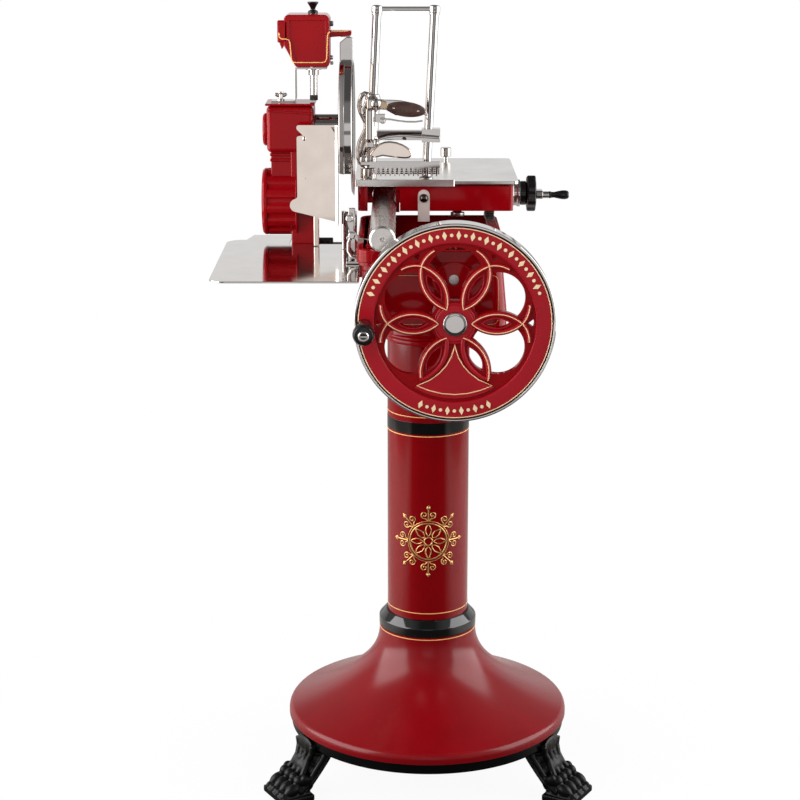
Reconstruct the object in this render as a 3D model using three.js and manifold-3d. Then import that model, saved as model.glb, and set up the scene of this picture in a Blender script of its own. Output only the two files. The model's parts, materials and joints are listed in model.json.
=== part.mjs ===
import * as THREE from 'three';
import { mergeVertices } from 'three/addons/utils/BufferGeometryUtils.js';
import Module from 'manifold-3d';

// A hand cranked meat slicer on its pedestal, in millimetres with Z up.
// The column stands on Z through x = 0, y = 0 while it is built, and the floor is z = 0.
// The flywheel faces -Y, the blade turns about X on the left, and the carriage slides along Y.

// Clearances shared by every piece
const fit = 0.3;
const runningFit = 0.6;
const overrun = 3;
const weld = 0.0001;

// Roundness of turned pieces, as numbers of sides
const sides = { large: 32, medium: 16, small: 12, tiny: 8 };
const arcSteps = { corner: 2, oval: 4, ring: 7, wheel: 16 };

// Pedestal
const column = { radius: 75, wall: 6, foot: 262, top: 838, plateOver: 4, plate: 10, plateBore: 30 };
const flare = { radius: 262.6, edge: 12, floor: 114, shoulderIn: 4.6, shoulderRise: 18, neckOver: 15,
  neckTop: 279, wall: 9, ledge: 12 };
const flareShares = { bow: 2.1, spacing: 1.5 };
const flareSteps = 5;
const collar = { height: 36, bulgeOver: 15.6, topOver: 4, bottomOver: 13, widest: 13, band: 3 };
const baseRing = { inset: 4.6, width: 50, height: 20.4, bevel: 4 };
const foot = { tuck: 48.6, reach: 62.4, width: 58, plinthWidth: 88, plinthLength: 60, plinth: 15,
  toeRadius: 12.5, toeLength: 22, toeHeight: 15, toeBack: 3 };
const toeCount = 4;
const footOutlineShares = [[0, 1], [0.42, 1], [0.56, 0.93], [0.68, 0.68], [0.8, 0.4], [0.92, 0.26], [0.95, 0],
  [0.6, 0], [0.55, 0.12], [0.42, 0.32], [0.26, 0.5], [0.1, 0.68], [0, 0.82]];
const footNames = ['left', 'right', 'rear'];
const firstFootAngle = 210;

// Main lines of the machine
const flyAxis = { x: 41, z: 919 };
const driveY = 155;
const bladeZ = 1199;
const gear = { size: 3, width: 12, wheelTeeth: 12, layTeeth: 28, bevelTeeth: 16, bevelFace: 10,
  bevelHub: 12 };
const toothShares = { tipShare: 0.2, rootShare: 0.42, reachShare: 1, depthShare: 1.35, halfTurn: 0.5 };

// Body casting
const body = { left: -118, right: 134, bottom: 887, top: 1030, front: -165, back: 200, wall: 10, corner: 24,
  taper: 7, taperTop: 993, cornice: 5, corniceHeight: 22, neckOver: 3, floor: 9 };
const boss = { radius: 32, reach: 12 };
const pillar = { y: 40, thickness: 14, width: 62, boss: 22, bossLength: 26 };
const arm = { low: 925, high: 960, half: 30 };

// Shafts
const shaft = { wheel: 12, lay: 9, cross: 8.5, blade: 11 };
const spurY = -120;
const sleeve = { radius: 17, length: 32 };

// Flywheel, placed from its front face
const wheel = { front: -255, faceRadius: 168, faceWidth: 31, faceThickness: 13, rimLip: 3.2, rimDepth: 38,
  rimWall: 9, web: 11, webDrop: 4, webLap: 3, hub: 33, hubDrop: 1.5, hubLength: 62, bossRadius: 27 };
// The rosette's cuts, as shares of the radius where the wheel's broad face begins
const petalShares = { inner: 0.204, outer: 0.832, lineHalf: 0.12, margin: 0.034, holeInner: 0.35,
  holeOuter: 0.686, holeHalf: 0.058 };
const petalAngles = [0, 60, 120, 180, 240, 300];
const windowAngles = [-30, 30, 90, 150, 210];
const windowShares = { centre: 0.62, radius: 0.332 };
const pocketShares = { outer: 0.967, inner: 0.909, half: 0.0474 };
const pocketAngles = [0, 60, 120, 180];
const hubCap = { radius: 20.8, height: 7, edge: 2 };
const crank = { inset: 14.5, angle: 181, spindle: 6, head: 9, headHeight: 5, slot: 1.6, nut: 7,
  nutHeight: 5 };
const knob = { length: 82, root: 12, waist: 13.5, waistAt: 30, belly: 18.5, bellyAt: 62, end: 15 };

// Guide bar and rail
const bar = { x: -82, z: 1056, radius: 22.5, front: -212, back: 400, edge: 3, mark: 3, markDepth: 2 };
const saddle = { half: 16, length: 32, front: -140, rear: 150 };
const rail = { x: 115, half: 9, height: 10, front: -155, back: 186 };

// Carriage
const carriage = { left: -130, right: 158, front: 118, back: 428, bottom: 1052, top: 1098, wall: 7, corner: 8,
  windowHalf: 30, runner: 5, runnerWidth: 20, runnerInset: 14 };
const bush = { half: 29, length: 30, inset: 14, drop: 4.5 };
const roller = { radius: 15, width: 18, y: 150, axle: 5 };
const strap = { x: -8, half: 11, thickness: 6, rise: 3, boltDrop: 22, boltRadius: 9, boltHead: 8 };
const link = { x: 55, half: 8, rise: 11, height: 7, front: 130, back: 300, pin: 5, eye: 13 };

// Table and feed
const table = { overLeft: 5.5, overRight: 9, overFront: 8, overBack: 2, thickness: 5.7, corner: 10 };
const frontStrip = { right: 49, depth: 6, drop: 4, rise: 3 };
const stopKnob = { x: 39, y: 408, radius: 10, height: 24, neck: 8, shoulder: 12, edge: 3 };
const feed = { y: 270, z: 1063, travel: 150, screw: 7, start: -38, nutX: -20, nutHalf: 11, nutWall: 7,
  slotHalf: 12, slotEnd: 3, flange: 27.5, flangeDepth: 20, dial: 23, dialDepth: 13, wheel: 35, wheelDepth: 17,
  lobe: 3.4, crankThrow: 24, crankDepth: 12, crankHalf: 8, neck: 6.5, neckLength: 12, handle: 8.5, waist: 5.5,
  handleLength: 38, handleTaper: 9.5, handleEnd: 3, pin: 4, pinLength: 30 };
const lobeCount = 7;

// Meat clamp, on a frame that leans away from the blade
const clamp = { x: -56, y: 145, lean: 2.7, postHalf: 52.5, post: 8, footRadius: 13, footHeight: 4,
  barLow: 304, barHeight: 13, barDepth: 15, barEnd: 10, barCorner: 4.3 };
const press = { bottom: 20, knuckleTop: 64, headLow: 116, top: 158, sleeve: 14, waist: 10.5, blend: 8,
  barLow: 72, barHeight: 18, barDepth: 12, blockLeft: 12, blockRight: 22, blockHeight: 24, blockDepth: 28,
  loop: 10, loopBore: 5, loopOut: 18, loopZ: 140, webDepth: 12.5, lugLow: 112, lugHigh: 136, lugIn: 3 };
const grip = { y: -25, thick: 5, root: 8, reach: 86, fall: 9, z: 124, half: 13, length: 34, centre: 48,
  scale: 6, sink: 6 };
const gripShares = { neck: 0.25, heel: 0.33, belly: 0.67, lift: 0.33, scale: 0.9 };
const squeeze = { top: 104, fall: 4, length: 82, thickness: 3, depth: 9, eye: 5, pin: 2.5, cheek: 3 };
const spoon = { z: 56, length: 74, half: 13, eye: 7, pin: 3.4, thickness: 5, rise: 12 };
const comb = { left: -52, right: 78, depth: 10, low: 23, height: 12, tooth: 15, toothHalf: 2.6, pitch: 8.6,
  inset: 12 };
const combTeeth = 14;

// Blade and its guard
const blade = { radius: 122, edge: -137, hollow: 1.5, back: -148, thickness: 3, bevel: 7, hub: 45, flange: 32,
  flangeDepth: 5.5, tail: -238 };
const guard = { gap: 1.5, wall: 6.5, right: -138.5, left: -163, plate: 4, hub: 36, hubDepth: 8 };
const guardAngles = [24, 196];
const bladeHousing = { radius: 28 };
const guardPost = { half: 11.5, depth: 16, height: 39 };

// Drive case
const drive = { left: -297, right: -210, front: 115, back: 195, boxLow: 1160, boxTop: 1246, corner: 10,
  drumRight: -254, drumZ: 1065, drumRadius: 62, flute: 5, neckHalf: 33, plainHalf: 36, flangeLeft: -257,
  flangeRight: -241, flangeRadius: 66, lid: 4, lidOver: 2, capRadius: 30, capDepth: 8, discRadius: 62,
  discDepth: 10, rim: 4 };
const fluteCount = 18;
const fluteShares = { valley: 0.3, crest: 0.45, fall: 0.85 };

// Deflector and tray
const deflector = { left: -240, right: -168, y: 86, thickness: 2.5, top: 1214, bottom: 1035, flangeFront: 46,
  flangeWidth: 9, bulge: 16, bulgeZ: 1067, bulgeRadius: 12, leftFoot: 1054, notch: 13, notchZ: 1198,
  boltX: -226, boltHigh: 1186, boltLow: 1118, bolt: 4, proud: 3 };
const strut = { x: -206, half: 5, depth: 4, lap: 14 };
const tray = { left: -376, right: -121, front: -230, back: 110, top: 984, thickness: 3, corner: 28,
  shelf: 30 };

// Sharpener
const sharpener = { left: -264, right: -180, front: 120, back: 190, below: 52, height: 90, corner: 9,
  slant: 17, slantRise: 38, tab: 11, tabRise: 44, tabHeight: 40, tabDepth: 14, armPast: 9.75, armHeight: 12,
  armDepth: 26 };
const strapPlate = { thickness: 3.5, width: 30, dropInset: 20, endInset: 7, rightInset: 6, screwInset: 18,
  screwRadius: 7, screwHead: 3, screwHeight: 15 };
const plunger = { inset: 31, radius: 6.8, clear: 2.4, knobHeight: 22, knob: 10, knobBand: 3, waist: 3.5,
  neckOver: 1.2, flange: 9, collar: 9.6, collarHeight: 13, collarFlange: 15, collarStep: 3 };
const ferrule = { radius: 7.4, height: 9 };
const sideKnob = { radius: 5, depth: 6, rise: 76 };

// Finishes
const paint = (colour, roughness, metalness = 0) =>
  new THREE.MeshStandardMaterial({ color: colour, roughness, metalness });
const redEnamel = paint(0x9e1620, 0.22);
const blackEnamel = paint(0x17191a, 0.2);
const castBlack = paint(0x1d1e1f, 0.45);
const chrome = paint(0xd6d6d4, 0.08, 1);
const steel = paint(0xb9bab8, 0.28, 1);
const bronze = paint(0xa8803f, 0.35, 1);
const blackPlastic = paint(0x141414, 0.3);
const brownScale = paint(0x4b332b, 0.4);
const stoneGrey = paint(0x2b2a29, 0.9);

const wasm = await Module();
wasm.setup();

const group = new THREE.Group();
const toRadians = THREE.MathUtils.degToRad;
const axisX = new THREE.Vector3(1, 0, 0);
const axisY = new THREE.Vector3(0, 1, 0);
const axisZ = new THREE.Vector3(0, 0, 1);
// Drawings made flat in x and y are stood up: looking along X, along Y or down on the floor
const seenAlongX = new THREE.Matrix4().makeBasis(axisY, axisZ, axisX);
const seenAlongY = new THREE.Matrix4().makeBasis(axisX, axisZ, axisY.clone().negate());

function signedVolume(geometry) {
  const place = geometry.attributes.position;
  const index = geometry.index.array;
  const [a, b, c] = [new THREE.Vector3(), new THREE.Vector3(), new THREE.Vector3()];
  let sum = 0;
  for (let i = 0; i < index.length; i += 3) {
    a.fromBufferAttribute(place, index[i]);
    b.fromBufferAttribute(place, index[i + 1]);
    c.fromBufferAttribute(place, index[i + 2]);
    sum += a.dot(b.cross(c));
  }
  return sum;
}

// A closed skin of shared vertices with its faces pointing out
function tidy(geometry) {
  const loose = geometry.index ? geometry.toNonIndexed() : geometry.clone();
  for (const name of Object.keys(loose.attributes)) {
    if (name !== 'position') loose.deleteAttribute(name);
  }
  const merged = mergeVertices(loose, weld);
  const index = merged.index.array;
  const kept = [];
  for (let i = 0; i < index.length; i += 3) {
    const [a, b, c] = [index[i], index[i + 1], index[i + 2]];
    if (a !== b && b !== c && c !== a) kept.push(a, b, c);
  }
  merged.setIndex(kept);
  if (signedVolume(merged) < 0) {
    for (let i = 0; i < kept.length; i += 3) [kept[i], kept[i + 1]] = [kept[i + 1], kept[i]];
    merged.setIndex(kept);
  }
  return merged;
}

function toSolid(geometry) {
  const skin = tidy(geometry);
  return new wasm.Manifold(new wasm.Mesh({
    numProp: 3,
    vertProperties: Float32Array.from(skin.attributes.position.array),
    triVerts: Uint32Array.from(skin.index.array),
  }));
}

function toGeometry(solid) {
  const mesh = solid.getMesh();
  const geometry = new THREE.BufferGeometry();
  geometry.setAttribute('position', new THREE.BufferAttribute(Float32Array.from(mesh.vertProperties), 3));
  geometry.setIndex([...mesh.triVerts]);
  return geometry;
}

function join(...pieces) {
  return toGeometry(pieces.map(toSolid).reduce((whole, next) => whole.add(next)));
}

function cut(piece, ...tools) {
  return toGeometry(tools.map(toSolid).reduce((whole, tool) => whole.subtract(tool), toSolid(piece)));
}

function common(a, b) {
  return toGeometry(toSolid(a).intersect(toSolid(b)));
}

function put(parent, name, geometry, material, x = 0, y = 0, z = 0) {
  const mesh = new THREE.Mesh(tidy(geometry), material);
  mesh.name = name;
  mesh.position.set(x, y, z);
  parent.add(mesh);
  return mesh;
}

// Turned pieces: a profile of [radius, height] pairs about the axis named
function turned(profile, axis, count = sides.medium) {
  const points = profile.map(([r, h]) => new THREE.Vector2(r, h));
  const geometry = new THREE.LatheGeometry(points, count);
  if (axis === 'z') geometry.rotateX(Math.PI / 2);
  if (axis === 'x') geometry.rotateZ(-Math.PI / 2);
  return geometry;
}

function turnedPin(radius, low, high, axis, count = sides.small) {
  return turned([[0, low], [radius, low], [radius, high], [0, high]], axis, count);
}

function turnedTube(inner, outer, low, high, axis, count = sides.small) {
  return turned([[inner, low], [outer, low], [outer, high], [inner, high], [inner, low]], axis, count);
}

function block(x0, x1, y0, y1, z0, z1) {
  const geometry = new THREE.BoxGeometry(x1 - x0, y1 - y0, z1 - z0);
  return geometry.translate((x0 + x1) / 2, (y0 + y1) / 2, (z0 + z1) / 2);
}

// A flat shape given depth, stood up with the depth running from one place to the other
function slabX(shape, x0, x1, curve = arcSteps.corner) {
  const geometry = new THREE.ExtrudeGeometry(shape, { depth: x1 - x0, bevelEnabled: false,
    curveSegments: curve });
  return geometry.applyMatrix4(seenAlongX).translate(x0, 0, 0);
}

function slabY(shape, y0, y1, curve = arcSteps.corner) {
  const geometry = new THREE.ExtrudeGeometry(shape, { depth: y1 - y0, bevelEnabled: false,
    curveSegments: curve });
  return geometry.applyMatrix4(seenAlongY).translate(0, y1, 0);
}

function slabZ(shape, z0, z1, curve = arcSteps.corner) {
  const geometry = new THREE.ExtrudeGeometry(shape, { depth: z1 - z0, bevelEnabled: false,
    curveSegments: curve });
  return geometry.translate(0, 0, z0);
}

function roundedBox(x0, x1, y0, y1, r) {
  const shape = new THREE.Shape();
  shape.moveTo(x0 + r, y0);
  shape.lineTo(x1 - r, y0);
  shape.absarc(x1 - r, y0 + r, r, -Math.PI / 2, 0);
  shape.lineTo(x1, y1 - r);
  shape.absarc(x1 - r, y1 - r, r, 0, Math.PI / 2);
  shape.lineTo(x0 + r, y1);
  shape.absarc(x0 + r, y1 - r, r, Math.PI / 2, Math.PI);
  shape.lineTo(x0, y0 + r);
  shape.absarc(x0 + r, y0 + r, r, Math.PI, Math.PI * 1.5);
  return shape;
}

function polygon(points) {
  return new THREE.Shape(points.map(([x, y]) => new THREE.Vector2(x, y)));
}

function disc(x, y, r) {
  const shape = new THREE.Shape();
  shape.absarc(x, y, r, 0, Math.PI * 2);
  return shape;
}

// Part of a ring between two angles in degrees
function ringPart(cx, cy, inner, outer, from, to) {
  const [a, b] = [toRadians(from), toRadians(to)];
  const shape = new THREE.Shape();
  shape.absarc(cx, cy, outer, a, b, false);
  shape.absarc(cx, cy, inner, b, a, true);
  return shape;
}

// The outline of a gear, with straight sided teeth
function gearOutline(count, phase = 0) {
  const pitch = gear.size * count / 2;
  const tip = pitch + gear.size * toothShares.reachShare;
  const root = pitch - gear.size * toothShares.depthShare;
  const halfTip = Math.PI * toothShares.tipShare / count;
  const halfRoot = Math.PI * (1 - toothShares.rootShare) / count;
  const corners = [[-halfRoot, root], [-halfTip, tip], [halfTip, tip], [halfRoot, root]];
  const points = [];
  for (let i = 0; i < count; i += 1) {
    const middle = (i + phase) * Math.PI * 2 / count;
    for (const [angle, radius] of corners) {
      points.push([radius * Math.cos(middle + angle), radius * Math.sin(middle + angle)]);
    }
  }
  return points;
}

// A solid between one outline and the same outline drawn in towards its middle
function tapered(points, height, share) {
  const count = points.length;
  const place = [];
  const index = [];
  for (const [x, y] of points) place.push(x, y, 0);
  for (const [x, y] of points) place.push(x * share, y * share, height);
  place.push(0, 0, 0, 0, 0, height);
  for (let i = 0; i < count; i += 1) {
    const j = (i + 1) % count;
    index.push(i, j, count + j, i, count + j, count + i);
    index.push(2 * count, j, i, 2 * count + 1, count + i, count + j);
  }
  const geometry = new THREE.BufferGeometry();
  geometry.setAttribute('position', new THREE.Float32BufferAttribute(place, 3));
  geometry.setIndex(index);
  return geometry;
}

// A pointed oval lying along x, from its middle, half length and half width
function pointedOval(middle, halfLength, halfWidth) {
  const radius = (halfLength ** 2 + halfWidth ** 2) / (2 * halfWidth);
  const offset = radius - halfWidth;
  const lean = Math.asin(offset / radius);
  const shape = new THREE.Shape();
  shape.absarc(middle, -offset, radius, lean, Math.PI - lean, false);
  shape.absarc(middle, offset, radius, Math.PI + lean, Math.PI * 2 - lean, false);
  return shape;
}

function turnInPlane(geometry, degrees) {
  return geometry.rotateY(-toRadians(degrees));
}

// Places that several pieces share
const neckRadius = column.radius + flare.neckOver;
const ringOuter = flare.radius - baseRing.inset;
const ringInner = ringOuter - baseRing.width;
const ringTop = flare.floor - fit;
const ringBottom = ringTop - baseRing.height;
const plateLow = column.top + fit;
const neckLow = plateLow + column.plate + fit;
const layZ = flyAxis.z + gear.size * (gear.wheelTeeth + gear.layTeeth) / 2;
const bevelPitch = gear.size * gear.bevelTeeth / 2;
const webRadius = wheel.faceRadius - wheel.faceWidth;
const rimRadius = wheel.faceRadius + fit + wheel.rimLip;
const crankThrow = wheel.faceRadius - crank.inset;
const knobX = flyAxis.x + crankThrow * Math.cos(toRadians(crank.angle));
const knobZ = flyAxis.z + crankThrow * Math.sin(toRadians(crank.angle));
const rollerZ = body.top + 2 * fit + rail.height + roller.radius;
const bushStarts = [carriage.front + bush.inset, carriage.back - bush.inset - bush.length];
const boltZ = carriage.top - strap.boltDrop;
const linkZ = body.top + link.rise;
const tableLow = carriage.top + carriage.runner;
const tableTop = tableLow + table.thickness;
const guardInner = blade.radius + guard.gap;
const guardOuter = guardInner + guard.wall;
const guardMiddle = (guard.left + guard.right) / 2;
const armLow = bladeZ + guardOuter + guardPost.height;
const sharpenerLow = armLow - sharpener.below;
const sharpenerTop = sharpenerLow + sharpener.height;
const lidTop = drive.boxTop + fit + drive.lid;
const plungerX = sharpener.right - plunger.inset;
const leanSlope = Math.tan(toRadians(clamp.lean));
const postX = (side, height) => clamp.x + side * clamp.postHalf + height * leanSlope;
const squeezeX = postX(-1, grip.z) + press.sleeve + squeeze.eye;
const squeezeZ = squeeze.top - squeeze.thickness / 2;
const spoonFront = -press.sleeve - fit - spoon.thickness - fit;

// Pedestal
function pawFoot(angle) {
  const height = ringBottom - fit;
  const heel = flare.radius - foot.tuck;
  const tip = flare.radius + foot.reach;
  const half = foot.plinthWidth / 2;
  const outline = footOutlineShares.map(([out, up]) => [heel + (tip - heel) * out, height * up]);
  const leg = slabY(polygon(outline), -foot.width / 2, foot.width / 2);
  const toes = [];
  for (let i = 0; i < toeCount; i += 1) {
    const toe = new THREE.SphereGeometry(1, sides.tiny, sides.tiny / 2);
    toe.scale(foot.toeLength, foot.toeRadius, foot.toeHeight);
    const across = (i / (toeCount - 1) - 1 / 2) * (foot.plinthWidth - 2 * foot.toeRadius);
    toes.push(toe.translate(tip - foot.toeBack - foot.toeLength, across, foot.plinth));
  }
  const plinth = block(tip - foot.plinthLength, tip, -half, half, 0, foot.plinth);
  return join(leg, plinth, ...toes).rotateZ(angle);
}

function baseRingShape() {
  const { bevel } = baseRing;
  return turned([[ringInner, ringBottom], [ringOuter - bevel, ringBottom], [ringOuter, ringBottom + bevel],
    [ringOuter, ringTop], [ringInner, ringTop], [ringInner, ringBottom]], 'z', sides.large);
}

function flareShape() {
  const low = flare.floor + flare.shoulderRise;
  const rise = flare.neckTop - low;
  const outside = [[flare.radius, flare.floor], [flare.radius, flare.floor + flare.edge]];
  const run = flare.radius - flare.shoulderIn - neckRadius;
  for (let i = 0; i <= flareSteps; i += 1) {
    const share = (i / flareSteps) ** flareShares.spacing;
    const radius = neckRadius + run * (1 - share) ** flareShares.bow;
    outside.push([radius, low + rise * share]);
  }
  const inside = [];
  for (let i = 1; i < outside.length - 1; i += 1) {
    const [r0, z0] = outside[i - 1];
    const [r1, z1] = outside[i + 1];
    const slope = Math.hypot(r1 - r0, z1 - z0);
    const radius = outside[i][0] - flare.wall * (z1 - z0) / slope;
    const height = outside[i][1] - flare.wall * (r0 - r1) / slope;
    const between = height > flare.floor && height < column.foot - flare.ledge;
    if (i % 2 === 0 && between) inside.push([radius, height]);
  }
  inside.push([neckRadius - flare.wall, column.foot - flare.ledge]);
  const seat = column.radius - column.wall;
  return turned([...outside, [column.radius + fit, flare.neckTop], [column.radius + fit, column.foot],
    [seat, column.foot], [seat, column.foot - flare.ledge], ...inside.reverse(),
    [flare.radius - flare.wall, flare.floor], outside[0]], 'z', sides.large);
}

function collarShape() {
  const low = flare.neckTop + fit;
  const top = low + collar.height;
  const inner = column.radius + fit;
  const bulge = column.radius + collar.bulgeOver;
  const widest = low + collar.widest;
  return turned([[inner, low], [column.radius + collar.bottomOver, low], [bulge, widest],
    [bulge, widest + collar.band], [column.radius + collar.topOver, top], [inner, top], [inner, low]], 'z',
  sides.large);
}

function pedestal() {
  footNames.forEach((name, i) => {
    const angle = toRadians(firstFootAngle) + i * Math.PI * 2 / footNames.length;
    put(group, `paw_foot_${name}`, pawFoot(angle), castBlack);
  });
  put(group, 'base_ring', baseRingShape(), blackEnamel);
  put(group, 'base_flare', flareShape(), redEnamel);
  put(group, 'column_collar', collarShape(), blackEnamel);
  const inner = column.radius - column.wall;
  put(group, 'column_tube', turnedTube(inner, column.radius, column.foot + fit, column.top, 'z', sides.large),
    redEnamel);
  put(group, 'column_top_plate', turnedTube(column.plateBore, column.radius + column.plateOver, plateLow,
    plateLow + column.plate, 'z', sides.large), redEnamel);
}

// Body casting: an open topped box on a round neck, with its bearings
function bodyShape() {
  const { left, right, bottom, top, front, back, wall, corner, taper, cornice } = body;
  const inner = right - taper - wall;
  const face = polygon([[left, bottom], [right, bottom], [right, flyAxis.z], [right - taper, body.taperTop],
    [right - taper, top], [left, top]]);
  const plan = slabZ(roundedBox(left, right, front, back, corner), bottom, top);
  const lip = slabZ(roundedBox(left - cornice, right - taper + cornice, front - cornice, back + cornice,
    corner + cornice), top - body.corniceHeight, top);
  const neck = turnedPin(column.radius + body.neckOver, neckLow, bottom + overrun, 'z', sides.medium);
  const shell = cut(join(common(slabY(face, front, back), plan), lip, neck),
    slabZ(roundedBox(left + wall, inner, front + wall, back - wall, corner - wall), bottom + body.floor,
      top + overrun));
  const added = [];
  for (const z of [flyAxis.z, layZ]) {
    added.push(turnedPin(boss.radius, front - boss.reach, front + wall, 'y', sides.medium)
      .translate(flyAxis.x, 0, z));
    added.push(turnedPin(pillar.boss, pillar.y - pillar.bossLength / 2, pillar.y + pillar.bossLength / 2, 'y',
      sides.medium).translate(flyAxis.x, 0, z));
  }
  added.push(block(flyAxis.x - pillar.width / 2, flyAxis.x + pillar.width / 2,
    pillar.y - pillar.thickness / 2, pillar.y + pillar.thickness / 2, bottom, layZ));
  added.push(turnedPin(sleeve.radius, left, left + wall + boss.reach, 'x').translate(0, driveY, layZ));
  added.push(turnedPin(sleeve.radius, inner - boss.reach, inner + overrun, 'x').translate(0, driveY, layZ));
  const saddleTop = bar.z - Math.sqrt(bar.radius ** 2 - saddle.half ** 2);
  for (const y of [saddle.front, saddle.rear]) {
    added.push(block(bar.x - saddle.half, bar.x + saddle.half, y, y + saddle.length, top - body.corniceHeight,
      saddleTop));
    added.push(block(left + wall / 2, bar.x + saddle.half, y, y + saddle.length, top - body.corniceHeight,
      top));
  }
  added.push(block(drive.right + fit, left + overrun, driveY - arm.half, driveY + arm.half, arm.low,
    arm.high));
  const bores = [
    turnedPin(shaft.wheel + runningFit, front - boss.reach - overrun, front + wall + overrun, 'y')
      .translate(flyAxis.x, 0, flyAxis.z),
    turnedPin(shaft.wheel + runningFit, pillar.y - pillar.bossLength, pillar.y + pillar.bossLength, 'y')
      .translate(flyAxis.x, 0, flyAxis.z),
    turnedPin(shaft.lay + runningFit, front - boss.reach - overrun, pillar.y + pillar.bossLength, 'y')
      .translate(flyAxis.x, 0, layZ),
    turnedPin(shaft.cross + runningFit, left - overrun, inner + wall / 2, 'x').translate(0, driveY, layZ),
    turnedPin(bar.radius + fit, bar.front, bar.back, 'y', sides.medium).translate(bar.x, 0, bar.z),
  ];
  return cut(join(shell, ...added), ...bores);
}

function guideBarShape() {
  const { radius, front, back, edge, mark, markDepth } = bar;
  return turned([[0, front + markDepth], [mark, front + markDepth], [mark, front], [radius - edge, front],
    [radius, front + edge], [radius, back - edge], [radius - edge, back], [0, back]], 'y')
    .translate(bar.x, 0, bar.z);
}

// The case of the blade drive, a box above a fluted drum
function drumOutline() {
  const points = [];
  const flute = [[0, drive.flute], [fluteShares.valley, drive.flute], [fluteShares.crest, 0],
    [fluteShares.fall, 0]];
  for (let i = 0; i < fluteCount; i += 1) {
    for (const [turnShare, depth] of flute) {
      const angle = (i + turnShare) * Math.PI * 2 / fluteCount;
      const radius = drive.drumRadius - depth;
      points.push([driveY + radius * Math.cos(angle), drive.drumZ + radius * Math.sin(angle)]);
    }
  }
  return points;
}

function driveCaseShape() {
  const { left, right, front, back, boxLow, boxTop, corner, drumRight, flangeRight, drumZ } = drive;
  const box = common(slabX(roundedBox(front, back, boxLow, boxTop, corner), left, right),
    slabY(roundedBox(left, right, boxLow, boxTop, corner), front, back));
  const pieces = [
    slabX(polygon(drumOutline()), left, drumRight),
    block(left + corner, flangeRight, driveY - drive.neckHalf, driveY + drive.neckHalf, drumZ,
      boxLow + corner),
    turnedPin(drive.flangeRadius, drive.flangeLeft, flangeRight, 'x', sides.medium)
      .translate(0, driveY, drumZ),
    block(drumRight - overrun, right, driveY - drive.plainHalf, driveY + drive.plainHalf, arm.low,
      boxLow + corner),
    block(drumRight, right, tray.back - tray.shelf, driveY, arm.high, tray.top - tray.thickness - fit),
  ];
  for (const z of [deflector.boltLow, deflector.boltHigh]) {
    pieces.push(turnedPin(deflector.bolt, deflector.y - deflector.proud, driveY, 'y', sides.tiny)
      .translate(deflector.boltX, 0, z));
  }
  const [start, end] = [blade.tail - overrun, right + overrun];
  const bores = [
    turnedPin(shaft.blade + runningFit, start, end, 'x').translate(0, driveY, bladeZ),
    turnedPin(shaft.cross + runningFit, start, end, 'x').translate(0, driveY, layZ),
  ];
  return cut(join(box, ...pieces), ...bores);
}

function driveCase() {
  const { left, right, front, back, boxTop, lid, lidOver } = drive;
  put(group, 'drive_case', driveCaseShape(), redEnamel);
  put(group, 'case_lid', slabZ(roundedBox(left - lidOver, right + lidOver, front - lidOver, back + lidOver,
    drive.corner), boxTop + fit, boxTop + fit + lid), redEnamel);
  const end = left - fit;
  for (const [name, radius, depth, z] of [['case_upper_cap', drive.capRadius, drive.capDepth, bladeZ],
    ['case_side_cover', drive.discRadius, drive.discDepth, drive.drumZ]]) {
    put(group, name, turned([[0, end], [radius, end], [radius, end - depth / 2],
      [radius - drive.rim, end - depth], [0, end - depth]], 'x').translate(0, driveY, z), redEnamel);
  }
  put(group, 'cross_shaft_sleeve', turnedTube(shaft.cross + runningFit, sleeve.radius, right + fit,
    right + fit + sleeve.length, 'x').translate(0, driveY, layZ), blackPlastic);
}

// Blade, its bearing housing and its guard
function bladeShape() {
  const { radius, edge, hollow, back, thickness, bevel, hub } = blade;
  const face = edge - hollow;
  return turned([[0, back], [hub, back], [hub + bevel, face - thickness], [radius - bevel, face - thickness],
    [radius, edge - hollow / 2], [radius, edge], [radius - bevel, face], [0, face]], 'x', sides.large)
    .translate(0, driveY, bladeZ);
}

function guardShape() {
  const { right, left, plate, hub } = guard;
  const ring = slabX(ringPart(driveY, bladeZ, guardInner, guardOuter, ...guardAngles), left, right,
    arcSteps.ring);
  const back = slabX(ringPart(driveY, bladeZ, hub - overrun, guardOuter, ...guardAngles), left, left + plate,
    arcSteps.ring);
  const middle = turnedPin(hub, left, left + guard.hubDepth, 'x').translate(0, driveY, bladeZ);
  const bore = turnedPin(shaft.blade + runningFit, left - overrun, right, 'x').translate(0, driveY, bladeZ);
  return cut(join(ring, back, middle), bore);
}

function bladeGroup() {
  const housingEnd = guard.left - fit;
  put(group, 'blade_shaft_housing', turnedTube(shaft.blade + runningFit, bladeHousing.radius,
    drive.right + fit, housingEnd, 'x', sides.medium).translate(0, driveY, bladeZ), chrome);
  put(group, 'blade_guard', guardShape(), chrome);
  put(group, 'guard_post', block(guardMiddle - guardPost.half, guardMiddle + guardPost.half,
    driveY - guardPost.depth / 2, driveY + guardPost.depth / 2, bladeZ + guardOuter + fit, armLow - fit),
    chrome);
  const flangeBack = blade.back - fit - blade.flangeDepth;
  put(group, 'blade_shaft', join(turnedPin(shaft.blade, blade.tail, blade.back - fit, 'x'),
    turnedPin(blade.flange, flangeBack, blade.back - fit, 'x')).translate(0, driveY, bladeZ), steel);
  put(group, 'blade', bladeShape(), chrome);
}

// Flywheel with its rosette of six petals
function petalBody() {
  const { inner, outer, lineHalf, margin } = petalShares;
  const half = (outer - inner) / 2;
  const lineRadius = (half ** 2 + lineHalf ** 2) / (2 * lineHalf);
  const reach = Math.sqrt((lineRadius + margin) ** 2 - (lineRadius - lineHalf) ** 2);
  return pointedOval(webRadius * (inner + outer) / 2, webRadius * reach, webRadius * (lineHalf + margin));
}

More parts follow.
